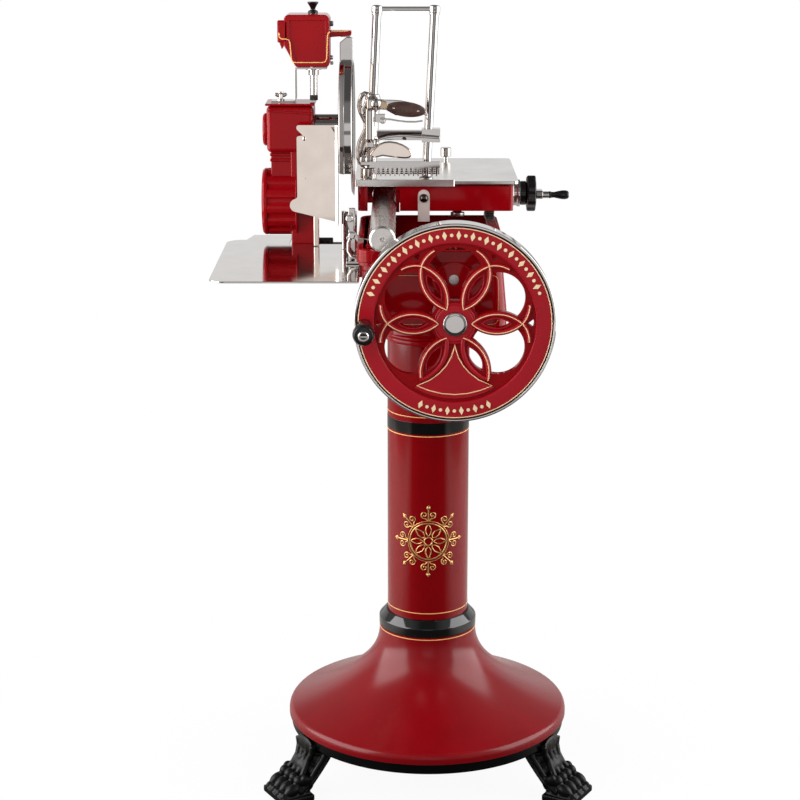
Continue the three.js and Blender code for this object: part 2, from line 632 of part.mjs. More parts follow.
function wheelCastingShape() {
  const { front, faceRadius, faceThickness, webDrop, web, hub, hubDrop, hubLength, bossRadius } = wheel;
  const webFront = front + webDrop;
  const through = [webFront - overrun, webFront + web + overrun];
  const ring = new THREE.Shape();
  ring.absarc(0, 0, faceRadius, 0, Math.PI * 2, false);
  const bore = new THREE.Path();
  bore.absarc(0, 0, webRadius, 0, Math.PI * 2, true);
  ring.holes.push(bore);
  let solid = toSolid(slabY(ring, front, front + faceThickness, arcSteps.wheel));
  solid = solid.add(toSolid(turnedPin(webRadius + wheel.webLap, webFront, webFront + web, 'y', sides.large)));
  const petals = petalAngles.map((angle) => toSolid(
    turnInPlane(slabY(petalBody(), ...through, arcSteps.oval), angle)));
  const allPetals = petals.reduce((whole, next) => whole.add(next));
  for (const angle of windowAngles) {
    const opening = slabY(disc(webRadius * windowShares.centre, 0, webRadius * windowShares.radius),
      ...through, arcSteps.ring);
    solid = solid.subtract(toSolid(turnInPlane(opening, angle)).subtract(allPetals));
  }
  const middle = webRadius * (petalShares.holeInner + petalShares.holeOuter) / 2;
  const halfLength = webRadius * (petalShares.holeOuter - petalShares.holeInner) / 2;
  for (const angle of petalAngles) {
    const hole = slabY(pointedOval(middle, halfLength, webRadius * petalShares.holeHalf), ...through,
      arcSteps.oval);
    solid = solid.subtract(toSolid(turnInPlane(hole, angle)));
  }
  const pocketOuter = webRadius * pocketShares.outer;
  const pocketHalf = webRadius * pocketShares.half;
  for (const angle of pocketAngles) {
    const hole = polygon([[webRadius * pocketShares.inner, 0], [pocketOuter, -pocketHalf],
      [pocketOuter, pocketHalf]]);
    solid = solid.subtract(toSolid(turnInPlane(slabY(hole, ...through), angle)));
  }
  solid = solid.add(toSolid(turnedPin(hub, front + hubDrop, webFront + web, 'y', sides.medium)));
  solid = solid.add(toSolid(turnedPin(bossRadius, webFront, front + hubLength, 'y', sides.medium)));
  const bossEnd = front + hubLength;
  solid = solid.subtract(toSolid(turnedPin(shaft.wheel + fit, webFront, bossEnd + overrun, 'y')));
  const pinHole = turnedPin(crank.spindle + fit, front - overrun, front + faceThickness + overrun, 'y');
  return toGeometry(solid.translate([flyAxis.x, 0, flyAxis.z])
    .subtract(toSolid(pinHole.translate(knobX, 0, knobZ))));
}

function flywheel() {
  const { front, faceRadius, faceThickness, rimDepth, rimWall } = wheel;
  put(group, 'flywheel_casting', wheelCastingShape(), redEnamel);
  const lip = faceRadius + fit;
  const shoulder = front + faceThickness + fit;
  const back = front + rimDepth;
  put(group, 'flywheel_rim', turned([[lip, front + fit], [rimRadius, front + fit], [rimRadius, back],
    [rimRadius - rimWall, back], [rimRadius - rimWall, shoulder], [lip, shoulder], [lip, front + fit]], 'y',
  sides.large).translate(flyAxis.x, 0, flyAxis.z), chrome);
  const capBack = front + wheel.hubDrop - fit;
  const { radius, height, edge } = hubCap;
  put(group, 'flywheel_hub_cap', turned([[0, capBack - height], [radius - edge, capBack - height],
    [radius, capBack - height + edge], [radius, capBack], [0, capBack]], 'y').translate(flyAxis.x, 0,
    flyAxis.z), chrome);
  put(group, 'crank_spindle', crankSpindleShape(), steel);
  put(group, 'crank_knob', crankKnobShape(), blackPlastic);
}

function crankSpindleShape() {
  const { spindle, head, headHeight, slot, nut, nutHeight } = crank;
  const back = wheel.front + wheel.faceThickness + fit;
  const tip = wheel.front - fit - knob.length - fit;
  const pin = turned([[0, tip - headHeight], [head, tip - headHeight], [head, tip], [spindle, tip],
    [spindle, back], [nut, back], [nut, back + nutHeight], [0, back + nutHeight]], 'y', sides.small);
  const groove = block(-head, head, tip - headHeight - overrun, tip - headHeight / 2, -slot / 2, slot / 2);
  return cut(pin, groove).translate(knobX, 0, knobZ);
}

function crankKnobShape() {
  const back = wheel.front - fit;
  const bore = crank.spindle + runningFit;
  const end = back - knob.length;
  const profile = [[bore, back], [knob.root, back], [knob.waist, back - knob.waistAt],
    [knob.belly, back - knob.bellyAt], [knob.belly, (back - knob.bellyAt + end) / 2], [knob.end, end],
    [bore, end], [bore, back]];
  return turned(profile, 'y').translate(knobX, 0, knobZ);
}

// Shafts and gears inside the body
function wheelShaftShape() {
  const start = wheel.front + wheel.webDrop + fit;
  const end = pillar.y + pillar.bossLength / 2 + wheel.webDrop;
  const rod = turnedPin(shaft.wheel, start, end, 'y');
  const teeth = slabY(polygon(gearOutline(gear.wheelTeeth)), spurY, spurY + gear.width);
  return join(rod, teeth).translate(flyAxis.x, 0, flyAxis.z);
}

function bevelOutline(phase) {
  return tapered(gearOutline(gear.bevelTeeth, phase), gear.bevelFace, 1 - gear.bevelFace / bevelPitch);
}

function layShaftShape() {
  const large = driveY - bevelPitch;
  const rod = turnedPin(shaft.lay, body.front - boss.reach / 2, large + overrun, 'y');
  const teeth = slabY(polygon(gearOutline(gear.layTeeth, toothShares.halfTurn)), spurY, spurY + gear.width);
  const bevel = bevelOutline(0).rotateX(-Math.PI / 2).translate(0, large, 0);
  const back = turnedPin(gear.bevelHub, large - gear.bevelHub, large + overrun, 'y');
  return join(rod, teeth, bevel, back).translate(flyAxis.x, 0, layZ);
}

function crossShaftShape() {
  const large = flyAxis.x - bevelPitch;
  const end = body.right - body.taper - body.wall - fit;
  const rod = turnedPin(shaft.cross, blade.tail, end, 'x');
  const bevel = bevelOutline(toothShares.halfTurn).applyMatrix4(seenAlongX).translate(large, 0, 0);
  const back = turnedPin(gear.bevelHub, large - gear.bevelHub, large + overrun, 'x');
  return join(rod, bevel, back).translate(0, driveY, layZ);
}

// Carriage that runs along the guide bar and the side rail
function carriageShape() {
  const { left, right, front, back, bottom, top, wall, corner, windowHalf, runner } = carriage;
  const outer = slabZ(roundedBox(left, right, front, back, corner), bottom, top);
  const inner = slabZ(roundedBox(left + wall, right - wall, front + wall, back - wall, corner - wall / 2),
    bottom - overrun, top - wall);
  const slot = block(feed.nutX - feed.nutHalf - feed.slotEnd,
    feed.nutX + feed.nutHalf + feed.travel + feed.slotEnd, feed.y - feed.slotHalf, feed.y + feed.slotHalf,
    top - wall - overrun, top + overrun);
  const windows = [front - overrun, back - wall - overrun].map((y) => block(bar.x - windowHalf,
    bar.x + windowHalf, y, y + wall + 2 * overrun, bottom - overrun, top - wall));
  const shell = cut(outer, inner, slot, ...windows);
  const added = bushStarts.map((y) => block(bar.x - bush.half, bar.x + bush.half, y, y + bush.length,
    bottom - bush.drop, top - wall / 2));
  for (const y of [front + carriage.runnerInset, back - carriage.runnerInset - carriage.runnerWidth]) {
    added.push(block(left + corner, right - corner, y, y + carriage.runnerWidth, top - overrun,
      top + runner - fit));
  }
  added.push(turnedPin(roller.axle, rail.x - roller.width / 2 - roller.axle, right - wall / 2, 'x')
    .translate(0, roller.y, rollerZ));
  added.push(block(link.x - link.half, link.x + link.half, link.back - link.eye, link.back + link.eye,
    linkZ + link.height + fit, top - wall / 2));
  return cut(join(shell, ...added),
    turnedPin(bar.radius + runningFit, front - overrun, back + overrun, 'y', sides.medium)
      .translate(bar.x, 0, bar.z),
    turnedPin(feed.screw + runningFit, right - wall - overrun, right + overrun, 'x')
      .translate(0, feed.y, feed.z));
}

function strapShape() {
  const { x, half, thickness } = strap;
  const bottom = body.top + strap.rise;
  const outline = new THREE.Shape();
  outline.moveTo(x - half, bottom);
  outline.lineTo(x + half, bottom);
  outline.absarc(x, boltZ + half / 2, half, 0, Math.PI, false);
  return slabY(outline, carriage.front - fit - thickness, carriage.front - fit, arcSteps.oval);
}

function carriageGroup() {
  put(group, 'carriage_housing', carriageShape(), redEnamel);
  put(group, 'guide_roller', turnedTube(roller.axle + runningFit, roller.radius, rail.x - roller.width / 2,
    rail.x + roller.width / 2, 'x').translate(0, roller.y, rollerZ), steel);
  put(group, 'front_strap', strapShape(), chrome);
  const boltBack = carriage.front - strap.thickness - 2 * fit;
  put(group, 'strap_bolt', turned([[0, boltBack - strap.boltHead], [strap.boltRadius / 2, boltBack -
    strap.boltHead], [strap.boltRadius, boltBack - strap.boltHead / 2], [strap.boltRadius, boltBack],
  [0, boltBack]], 'y', sides.small).translate(strap.x, 0, boltZ), castBlack);
  const linkTop = linkZ + link.height;
  const barShape = block(link.x - link.half, link.x + link.half, link.front, link.back, linkZ, linkTop);
  const eyes = [link.front, link.back].map((y) => turnedPin(link.eye, linkZ, linkTop, 'z')
    .translate(link.x, y, 0));
  const hole = turnedPin(link.pin, linkZ - overrun, linkTop + overrun, 'z', sides.tiny)
    .translate(link.x, link.front, 0);
  put(group, 'drive_link', cut(join(barShape, ...eyes), hole), steel);
}

// Table that the screw feeds towards the blade
function tableGroup() {
  const left = carriage.left - table.overLeft;
  const front = carriage.front - table.overFront;
  const plate = slabZ(roundedBox(left, carriage.right + table.overRight, front,
    carriage.back + table.overBack, table.corner), tableLow, tableTop);
  const strip = slabZ(roundedBox(left, frontStrip.right, front - frontStrip.depth / 2, front +
    frontStrip.depth, frontStrip.depth / 2), tableLow - frontStrip.drop, tableTop + frontStrip.rise);
  put(group, 'table_plate', join(plate, strip), steel);
  const { nutX, nutHalf, slotHalf, screw, nutWall, y, z } = feed;
  put(group, 'feed_nut', cut(block(nutX - nutHalf, nutX + nutHalf, y - slotHalf + 2 * fit, y + slotHalf -
    2 * fit, z - screw - nutWall, tableLow - fit), turnedPin(screw + runningFit, nutX - nutHalf - overrun,
    nutX + nutHalf + overrun, 'x').translate(0, y, z)), bronze);
  const { radius, height, edge } = stopKnob;
  const low = tableTop + fit;
  put(group, 'table_knob', turned([[0, low], [radius / 2, low], [radius / 2, low + stopKnob.neck],
    [radius, low + stopKnob.shoulder], [radius, low + height - edge], [radius - edge, low + height],
    [0, low + height]], 'z', sides.small).translate(stopKnob.x, stopKnob.y, 0), chrome);
}

function lobedOutline() {
  const points = [];
  const steps = lobeCount * arcSteps.oval;
  for (let i = 0; i < steps; i += 1) {
    const angle = i * Math.PI * 2 / steps;
    const radius = feed.wheel - feed.lobe * (1 - Math.cos(angle * lobeCount)) / 2;
    points.push([radius * Math.cos(angle), radius * Math.sin(angle)]);
  }
  return points;
}

function feedGroup() {
  const { y, z } = feed;
  const flangeEnd = carriage.right + fit + feed.flangeDepth;
  put(group, 'feed_flange', turnedTube(feed.screw + runningFit, feed.flange, carriage.right + fit, flangeEnd,
    'x', sides.medium).translate(0, y, z), chrome);
  const dialStart = flangeEnd + fit;
  const wheelStart = dialStart + feed.dialDepth;
  const wheelEnd = wheelStart + feed.wheelDepth;
  put(group, 'feed_screw', turnedPin(feed.screw, feed.start, wheelEnd - fit, 'x').translate(0, y, z), steel);
  const grooves = join(turnedPin(feed.dial, dialStart, wheelStart + overrun, 'x', sides.medium),
    slabX(polygon(lobedOutline()), wheelStart, wheelEnd));
  put(group, 'feed_handwheel', cut(grooves, turnedPin(feed.screw + fit, dialStart - overrun, wheelEnd +
    overrun, 'x')).translate(0, y, z), blackPlastic);
  const armStart = wheelEnd + fit;
  const armEnd = armStart + feed.crankDepth;
  const neckEnd = armEnd + feed.neckLength;
  const stadium = new THREE.Shape();
  stadium.absarc(0, 0, feed.crankHalf, -Math.PI / 2, Math.PI / 2, false);
  stadium.absarc(-feed.crankThrow, 0, feed.crankHalf, Math.PI / 2, Math.PI * 1.5, false);
  const atPin = (piece) => piece.translate(0, -feed.crankThrow, 0);
  put(group, 'feed_crank', join(slabX(stadium, armStart, armEnd), atPin(turnedPin(feed.neck, armEnd - overrun,
    neckEnd, 'x')), atPin(turnedPin(feed.pin, armEnd, neckEnd + feed.pinLength, 'x'))).translate(0, y, z),
    chrome);
  const start = neckEnd + fit;
  const end = start + feed.handleLength;
  const bore = feed.pin + runningFit;
  const boreEnd = neckEnd + feed.pinLength + runningFit;
  put(group, 'feed_handle', turned([[bore, start], [feed.neck, start], [feed.waist, start + feed.handleTaper],
    [feed.handle, end - feed.handleTaper], [feed.handle, end - feed.handleEnd], [feed.waist, end], [0, end],
    [0, boreEnd], [bore, boreEnd], [bore, start]], 'x', sides.small).translate(0, y - feed.crankThrow, z),
    blackPlastic);
}

// Meat clamp: two leaning posts, a sliding casting and what it carries
function leaning(geometry, side) {
  return geometry.rotateY(toRadians(clamp.lean)).translate(postX(side, 0), 0, 0);
}

function clampFrame() {
  const top = clamp.barLow - fit;
  for (const [name, side] of [['left', -1], ['right', 1]]) {
    const tall = leaning(turnedPin(clamp.post, -clamp.post, top + clamp.post, 'z'), side);
    const post = common(tall, block(postX(side, 0) - top, postX(side, 0) + top, -top, top, fit, top));
    const base = turnedPin(clamp.footRadius, fit, clamp.footHeight, 'z').translate(postX(side, 0), 0, 0);
    put(group, `clamp_post_${name}`, join(post, base), chrome, 0, clamp.y, tableTop);
  }
  const shape = roundedBox(postX(-1, top) - clamp.barEnd, postX(1, top) + clamp.barEnd, clamp.barLow,
    clamp.barLow + clamp.barHeight, clamp.barCorner);
  put(group, 'clamp_top_bar', slabY(shape, -clamp.barDepth / 2, clamp.barDepth / 2), chrome, 0, clamp.y,
    tableTop);
}

function clampCastingShape() {
  const { bottom, knuckleTop, headLow, top, sleeve: wide, waist, blend, loop, loopBore, loopZ,
    webDepth } = press;
  const onPost = leaning(turned([[0, bottom], [wide, bottom], [wide, knuckleTop], [waist, knuckleTop + blend],
    [waist, headLow - blend], [wide, headLow], [wide, top], [0, top]], 'z'), -1);
  const headX = postX(-1, grip.z);
  const lug = block(headX - wide + press.lugIn, headX + wide - press.lugIn, grip.y - grip.root, 0,
    press.lugLow, press.lugHigh);
  const loopX = postX(-1, loopZ) - press.loopOut;
  const [topHalf, lowHalf] = [[0, 180], [180, 360]].map((turn) => slabY(ringPart(loopX, loopZ, loopBore, loop,
    ...turn), -webDepth, 0, arcSteps.oval));
  const webX = postX(-1, headLow);
  const web = slabY(polygon([[webX - press.loopOut - loop, loopZ],
    [webX - press.loopOut - loopBore, loopZ - loop], [postX(-1, knuckleTop) - waist, knuckleTop],
    [postX(-1, knuckleTop), knuckleTop], [webX, headLow], [webX, loopZ]]), -webDepth, 0);
  const loopHole = slabY(disc(loopX, loopZ, loopBore), -webDepth - overrun, overrun, arcSteps.oval * 2);
  const handle = slabY(handleOutline(headX + wide - grip.sink), grip.y - grip.thick / 2,
    grip.y + grip.thick / 2);
  const cheekFront = grip.y + squeeze.depth / 2 + fit;
  const cheek = block(headX, squeezeX + squeeze.eye, cheekFront, cheekFront + squeeze.cheek,
    squeezeZ - squeeze.eye, press.lugLow + overrun);
  const squeezePin = turnedPin(squeeze.pin, grip.y - squeeze.depth / 2, cheekFront + fit, 'y', sides.tiny)
    .translate(squeezeX, 0, squeezeZ);
  const spoonPin = turnedPin(spoon.pin, spoonFront - fit, 0, 'y', sides.tiny)
    .translate(postX(-1, spoon.z) + spoon.eye, 0, spoon.z);
  const bore = leaning(turnedPin(clamp.post + runningFit, 0, top + clamp.barHeight, 'z'), -1);
  return cut(join(onPost, lug, topHalf, lowHalf, web, handle, cheek, squeezePin, spoonPin), loopHole, bore);
}

// The grip's spine, with the two scales drawn a little inside it
function handleOutline(start) {
  const shape = new THREE.Shape();
  const { z, root, half, fall, reach } = grip;
  const neck = start + reach * gripShares.neck;
  const heel = start + reach * gripShares.heel;
  const belly = start + reach * gripShares.belly;
  shape.moveTo(start, z - root);
  shape.quadraticCurveTo(neck, z - root, heel, z - half);
  shape.quadraticCurveTo(belly, z - half - fall, start + reach, z - fall);
  shape.quadraticCurveTo(belly, z + half + fall * gripShares.lift, heel, z + half);
  shape.quadraticCurveTo(neck, z + root, start, z + root);
  return shape;
}

function scaleShape(y) {
  const shape = new THREE.Shape();
  const turn = -Math.atan(grip.fall / grip.reach);
  shape.absellipse(postX(-1, grip.z) + press.sleeve + grip.centre, grip.z - grip.fall / 2, grip.length,
    grip.half * gripShares.scale, 0, Math.PI * 2, false, turn);
  return slabY(shape, y, y + grip.scale, arcSteps.ring);
}

function clampCarriage() {
  put(group, 'clamp_casting', clampCastingShape(), chrome, 0, clamp.y, tableTop);
  const front = grip.y - grip.thick / 2 - fit;
  const back = grip.y + grip.thick / 2 + fit;
  put(group, 'grip_scale_front', scaleShape(front - grip.scale), brownScale, 0, clamp.y, tableTop);
  put(group, 'grip_scale_back', scaleShape(back), brownScale, 0, clamp.y, tableTop);
  put(group, 'squeeze_lever', squeezeShape(), chrome, 0, clamp.y, tableTop);
  put(group, 'spoon_lever', spoonShape(), chrome, 0, clamp.y, tableTop);
  put(group, 'press_bar', pressBarShape(), chrome, 0, clamp.y, tableTop);
  put(group, 'toothed_plate', combShape(), chrome, 0, clamp.y, tableTop);
}

function squeezeShape() {
  const end = squeezeX + squeeze.length;
  const low = squeezeZ - squeeze.fall;
  const half = squeeze.thickness / 2;
  const strip = polygon([[squeezeX, squeezeZ - half], [end, low - half], [end, low + half],
    [squeezeX, squeezeZ + half]]);
  const y0 = grip.y - squeeze.depth / 2;
  const eye = turnedPin(squeeze.eye, y0, y0 + squeeze.depth, 'y').translate(squeezeX, 0, squeezeZ);
  const hole = turnedPin(squeeze.pin + runningFit, y0 - overrun, y0 + squeeze.depth + overrun, 'y',
    sides.tiny).translate(squeezeX, 0, squeezeZ);
  return cut(join(slabY(strip, y0, y0 + squeeze.depth), eye), hole);
}

function spoonShape() {
  const x = postX(-1, spoon.z) + spoon.eye;
  const y0 = -press.sleeve - fit - spoon.thickness;
  const middle = x + spoon.length / 2;
  const leaf = slabY(pointedOval(0, spoon.length / 2, spoon.half), y0, y0 + spoon.thickness, arcSteps.oval)
    .rotateY(-Math.atan(spoon.rise / spoon.length)).translate(middle, 0, spoon.z + spoon.rise / 2);
  const eye = turnedPin(spoon.eye, y0, y0 + spoon.thickness, 'y').translate(x, 0, spoon.z);
  const hole = turnedPin(spoon.pin + runningFit, y0 - overrun, y0 + spoon.thickness + overrun, 'y',
    sides.tiny).translate(x, 0, spoon.z);
  return cut(join(leaf, eye), hole);
}

function pressBarShape() {
  const middle = press.barLow + press.barHeight / 2;
  const start = postX(-1, press.barLow) + press.waist + leanSlope * press.barHeight + fit;
  const postAt = postX(1, middle);
  const beam = block(start, postAt, -press.barDepth / 2, press.barDepth / 2, press.barLow,
    press.barLow + press.barHeight);
  const eye = block(postAt - press.blockLeft, postAt + press.blockRight, -press.blockDepth / 2,
    press.blockDepth / 2, middle - press.blockHeight / 2, middle + press.blockHeight / 2);
  const bore = leaning(turnedPin(clamp.post + runningFit, 0, clamp.barLow, 'z'), 1);
  return cut(join(beam, eye), bore);
}

// A comb that holds the meat down, with its teeth pointing at the table
function combShape() {
  const { left, right, depth, low, height, tooth, toothHalf, pitch, inset } = comb;
  const points = [[clamp.x + left, low]];
  for (let i = 0; i < combTeeth; i += 1) {
    const x = clamp.x + left + inset + i * pitch;
    points.push([x - toothHalf, low], [x - toothHalf / 2, low - tooth], [x + toothHalf / 2, low - tooth],
      [x + toothHalf, low]);
  }
  points.push([clamp.x + right, low], [clamp.x + right, low + height], [clamp.x + left, low + height]);
  const back = -press.sleeve - fit;
  return slabY(polygon(points), back - depth, back);
}

// Deflector that turns each slice down onto the tray
function deflectorShape() {
  const { left, right, y, thickness, top, bottom, bulge, bulgeZ, bulgeRadius, leftFoot, notch,
    notchZ } = deflector;
  const face = polygon([[left, leftFoot], [right, bottom], [right, top], [left, top],
    [left, notchZ + notch / 2], [left + notch, notchZ], [left, notchZ - notch / 2]]);
  const nose = slabY(disc(left - bulge + bulgeRadius, bulgeZ, bulgeRadius), y, y + thickness, arcSteps.ring);
  const root = block(left - bulge + bulgeRadius, left + overrun, y, y + thickness, bulgeZ - bulgeRadius,
    bulgeZ + bulgeRadius);
  const wing = block(right - deflector.flangeWidth, right, y, y + thickness, bottom, top);
  const turnedIn = block(right - thickness, right, deflector.flangeFront, y + thickness, bottom, top);
  const leg = block(strut.x - strut.half, strut.x + strut.half, y + thickness / 2,
    y + thickness + strut.depth, tray.top + fit, leftFoot + strut.lap);
  const plate = join(slabY(face, y, y + thickness), nose, root, wing, turnedIn, leg);
  const holes = [deflector.boltLow, deflector.boltHigh].map((z) => turnedPin(deflector.bolt + fit,
    y - overrun, y + thickness + overrun, 'y', sides.tiny).translate(deflector.boltX, 0, z));
  return cut(plate, ...holes);
}

function slicePieces() {
  const { left, right, front, back, top, thickness, corner } = tray;
  put(group, 'deflector_plate', deflectorShape(), chrome);
  const plan = new THREE.Shape();
  plan.moveTo(left + corner, front);
  plan.lineTo(right, front);
  plan.lineTo(right, back);
  plan.lineTo(left + corner, back);
  plan.absarc(left + corner, back - corner, corner, Math.PI / 2, Math.PI, false);
  plan.absarc(left + corner, front + corner, corner, Math.PI, Math.PI * 1.5, false);
  put(group, 'slice_tray', slabZ(plan, top - thickness, top), chrome);
}

// Sharpener on its strap, above the drive case and the guard
function sharpenerBoxShape() {
  const { left, right, front, back, corner, slant, tab } = sharpener;
  const face = new THREE.Shape();
  face.moveTo(left + slant, sharpenerLow);
  face.lineTo(right, sharpenerLow);
  face.lineTo(right, sharpenerTop - corner);
  face.absarc(right - corner, sharpenerTop - corner, corner, 0, Math.PI / 2, false);
  face.lineTo(left + corner, sharpenerTop);
  face.absarc(left + corner, sharpenerTop - corner, corner, Math.PI / 2, Math.PI, false);
  face.lineTo(left, sharpenerLow + sharpener.slantRise);
  const tabLow = sharpenerLow + sharpener.tabRise;
  const ear = block(left - tab, left + corner, front, front + sharpener.tabDepth, tabLow,
    tabLow + sharpener.tabHeight);
  const arm = block(right - corner, guardMiddle + sharpener.armPast, driveY - sharpener.armDepth / 2,
    driveY + sharpener.armDepth / 2, armLow, armLow + sharpener.armHeight);
  const button = turnedPin(sideKnob.radius, right - overrun, right + sideKnob.depth, 'x')
    .translate(0, driveY, sharpenerLow + sideKnob.rise);
  const bore = turnedPin(plunger.radius + runningFit, sharpenerLow - overrun, sharpenerTop + overrun, 'z')
    .translate(plungerX, driveY, 0);
  return cut(join(slabY(face, front, back), ear, arm, button), bore);
}

function strapPlateShape() {
  const { thickness, width, screwRadius, screwHeight } = strapPlate;
  const low = lidTop + fit;
  const top = sharpenerLow - fit;
  const end = drive.left + strapPlate.endInset;
  const dropX = sharpener.left + strapPlate.dropInset;
  const right = sharpener.right - strapPlate.rightInset;
  const outline = polygon([[end, low], [dropX, low], [dropX, top - thickness], [right, top - thickness],
    [right, top], [dropX - thickness, top], [dropX - thickness, low + thickness], [end, low + thickness]]);
  const strip = slabY(outline, driveY - width / 2, driveY + width / 2);
  const headTop = low + thickness + strapPlate.screwHead;
  const screw = turned([[0, low], [screwRadius, low], [screwRadius, headTop], [screwRadius / 2, headTop],
    [screwRadius / 2, low + screwHeight], [0, low + screwHeight]], 'z')
    .translate(end + strapPlate.screwInset, driveY, 0);
  const bore = turnedPin(plunger.radius + runningFit, top - thickness - overrun, top + overrun, 'z')
    .translate(plungerX, driveY, 0);
  return cut(join(strip, screw), bore);
}

function sharpenerGroup() {
  put(group, 'sharpener_box', sharpenerBoxShape(), redEnamel);
  put(group, 'sharpener_bracket', strapPlateShape(), chrome);
  const { radius, clear, knobHeight, collar: ringRadius, collarHeight, collarFlange, collarStep } = plunger;
  const flangeTop = sharpenerLow - strapPlate.thickness - 2 * fit;
  const bore = radius + runningFit;
  const flangeLow = flangeTop - collarStep;
  const collarLow = flangeTop - collarHeight;
  put(group, 'sharpener_collar', turned([[bore, collarLow], [ringRadius, collarLow], [ringRadius, flangeLow],
    [collarFlange, flangeLow], [collarFlange, flangeTop], [bore, flangeTop], [bore, collarLow]], 'z',
  sides.small).translate(plungerX, driveY, 0), chrome);
  const ferruleTop = lidTop + clear + ferrule.height;
  const knobLow = sharpenerTop + fit;
  const knobMiddle = knobLow + knobHeight / 2;
  const knobTop = knobLow + knobHeight;
  put(group, 'sharpener_rod', turnedPin(radius, ferruleTop + fit, knobMiddle, 'z')
    .translate(plungerX, driveY, 0), chrome);
  put(group, 'sharpener_ferrule', turnedPin(ferrule.radius, lidTop + clear, ferruleTop, 'z')
    .translate(plungerX, driveY, 0), stoneGrey);
  const socket = radius + fit;
  put(group, 'sharpener_knob', turned([[socket, knobLow], [plunger.flange, knobLow],
    [plunger.flange, knobLow + plunger.waist], [socket + plunger.neckOver, knobMiddle],
    [plunger.knob, knobTop - plunger.knobBand], [plunger.knob, knobTop], [0, knobTop], [0, knobMiddle + fit],
    [socket, knobMiddle + fit], [socket, knobLow]], 'z', sides.small).translate(plungerX, driveY, 0),
    blackPlastic);
}

pedestal();
put(group, 'body_casting', bodyShape(), redEnamel);
put(group, 'side_rail', block(rail.x - rail.half, rail.x + rail.half, rail.front, rail.back, body.top + fit,
  body.top + fit + rail.height), steel);
put(group, 'guide_bar', guideBarShape(), chrome);
driveCase();
bladeGroup();
flywheel();
put(group, 'wheel_shaft', wheelShaftShape(), steel);
put(group, 'lay_shaft', layShaftShape(), steel);
put(group, 'cross_shaft', crossShaftShape(), steel);
carriageGroup();
tableGroup();
feedGroup();
clampFrame();
clampCarriage();
slicePieces();
sharpenerGroup();

// The origin goes to the middle of the footprint, on the floor
group.updateMatrixWorld(true);
const bounds = new THREE.Box3().setFromObject(group, true);
group.position.set(-(bounds.min.x + bounds.max.x) / 2, -(bounds.min.y + bounds.max.y) / 2, -bounds.min.z);

export default group;
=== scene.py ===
import json
import math

import bpy
from mathutils import Matrix, Vector

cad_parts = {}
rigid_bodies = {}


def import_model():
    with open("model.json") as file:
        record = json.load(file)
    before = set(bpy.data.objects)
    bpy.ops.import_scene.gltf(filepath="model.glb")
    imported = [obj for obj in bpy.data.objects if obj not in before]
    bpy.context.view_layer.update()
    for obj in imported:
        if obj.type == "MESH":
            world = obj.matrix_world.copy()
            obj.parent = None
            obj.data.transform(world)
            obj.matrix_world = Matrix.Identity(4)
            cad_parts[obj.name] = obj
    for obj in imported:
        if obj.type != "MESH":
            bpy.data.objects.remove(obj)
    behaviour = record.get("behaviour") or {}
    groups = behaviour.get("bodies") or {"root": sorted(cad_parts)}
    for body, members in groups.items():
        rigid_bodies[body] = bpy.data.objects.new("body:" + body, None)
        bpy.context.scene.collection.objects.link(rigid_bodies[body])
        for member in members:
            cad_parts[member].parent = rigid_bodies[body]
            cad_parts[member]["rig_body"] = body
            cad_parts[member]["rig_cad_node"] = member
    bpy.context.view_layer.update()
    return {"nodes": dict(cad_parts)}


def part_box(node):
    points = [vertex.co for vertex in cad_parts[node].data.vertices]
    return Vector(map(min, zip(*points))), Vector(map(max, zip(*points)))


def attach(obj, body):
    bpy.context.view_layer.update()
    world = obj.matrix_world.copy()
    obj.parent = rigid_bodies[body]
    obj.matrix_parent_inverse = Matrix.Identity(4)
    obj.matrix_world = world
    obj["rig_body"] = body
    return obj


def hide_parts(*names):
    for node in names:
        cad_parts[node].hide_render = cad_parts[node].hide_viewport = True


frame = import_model()

# Lengths are in millimetres from the foot of the column's axis, and go to the frame's metres in place()
mm = 0.001
low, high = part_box("column_tube")
axis_x = (low.x + high.x) / 2
axis_y = (low.y + high.y) / 2
X, Y, Z = Vector((1, 0, 0)), Vector((0, 1, 0)), Vector((0, 0, 1))


def place(x, y, z):
    return Vector((axis_x + x * mm, axis_y + y * mm, z * mm))


def facing(pairs, y):
    """Pairs of x and z, upright at one depth."""
    return [place(x, y, z) for x, z in pairs]


def lying(pairs, z):
    """Pairs of x and y, flat at one height."""
    return [place(x, y, z) for x, y in pairs]


def path(*points):
    return [place(*point) for point in points]


def colour(red, green, blue):
    """A colour as it is seen, from 0 to 255, as the shader wants it."""
    shares = [value / 255 for value in (red, green, blue)]
    return tuple(s / 12.92 if s <= 0.04045 else ((s + 0.055) / 1.055) ** 2.4 for s in shares) + (1.0,)


# Modelling by hand, step by step
def edit():
    bpy.ops.object.mode_set(mode="EDIT")


def leave_edit():
    bpy.ops.object.mode_set(mode="OBJECT")


def select_all():
    bpy.ops.mesh.select_all(action="SELECT")


def select_none():
    bpy.ops.mesh.select_all(action="DESELECT")


def deselect():
    if bpy.context.object and bpy.context.object.mode != "OBJECT":
        leave_edit()
    bpy.ops.object.select_all(action="DESELECT")


def pick(piece):
    deselect()
    piece.select_set(True)
    bpy.context.view_layer.objects.active = piece


def settle(piece, name=None):
    """Puts the place, turn and size of a piece into its mesh."""
    pick(piece)
    bpy.ops.object.transform_apply(location=True, rotation=True, scale=True)
    if name:
        piece.name = name
        piece.data.name = name
    return piece


def apply(piece, kind, **settings):
    pick(piece)
    modifier = piece.modifiers.new(kind.lower(), kind)
    for key, value in settings.items():
        setattr(modifier, key, value)
    bpy.ops.object.modifier_apply(modifier=modifier.name)
    return piece


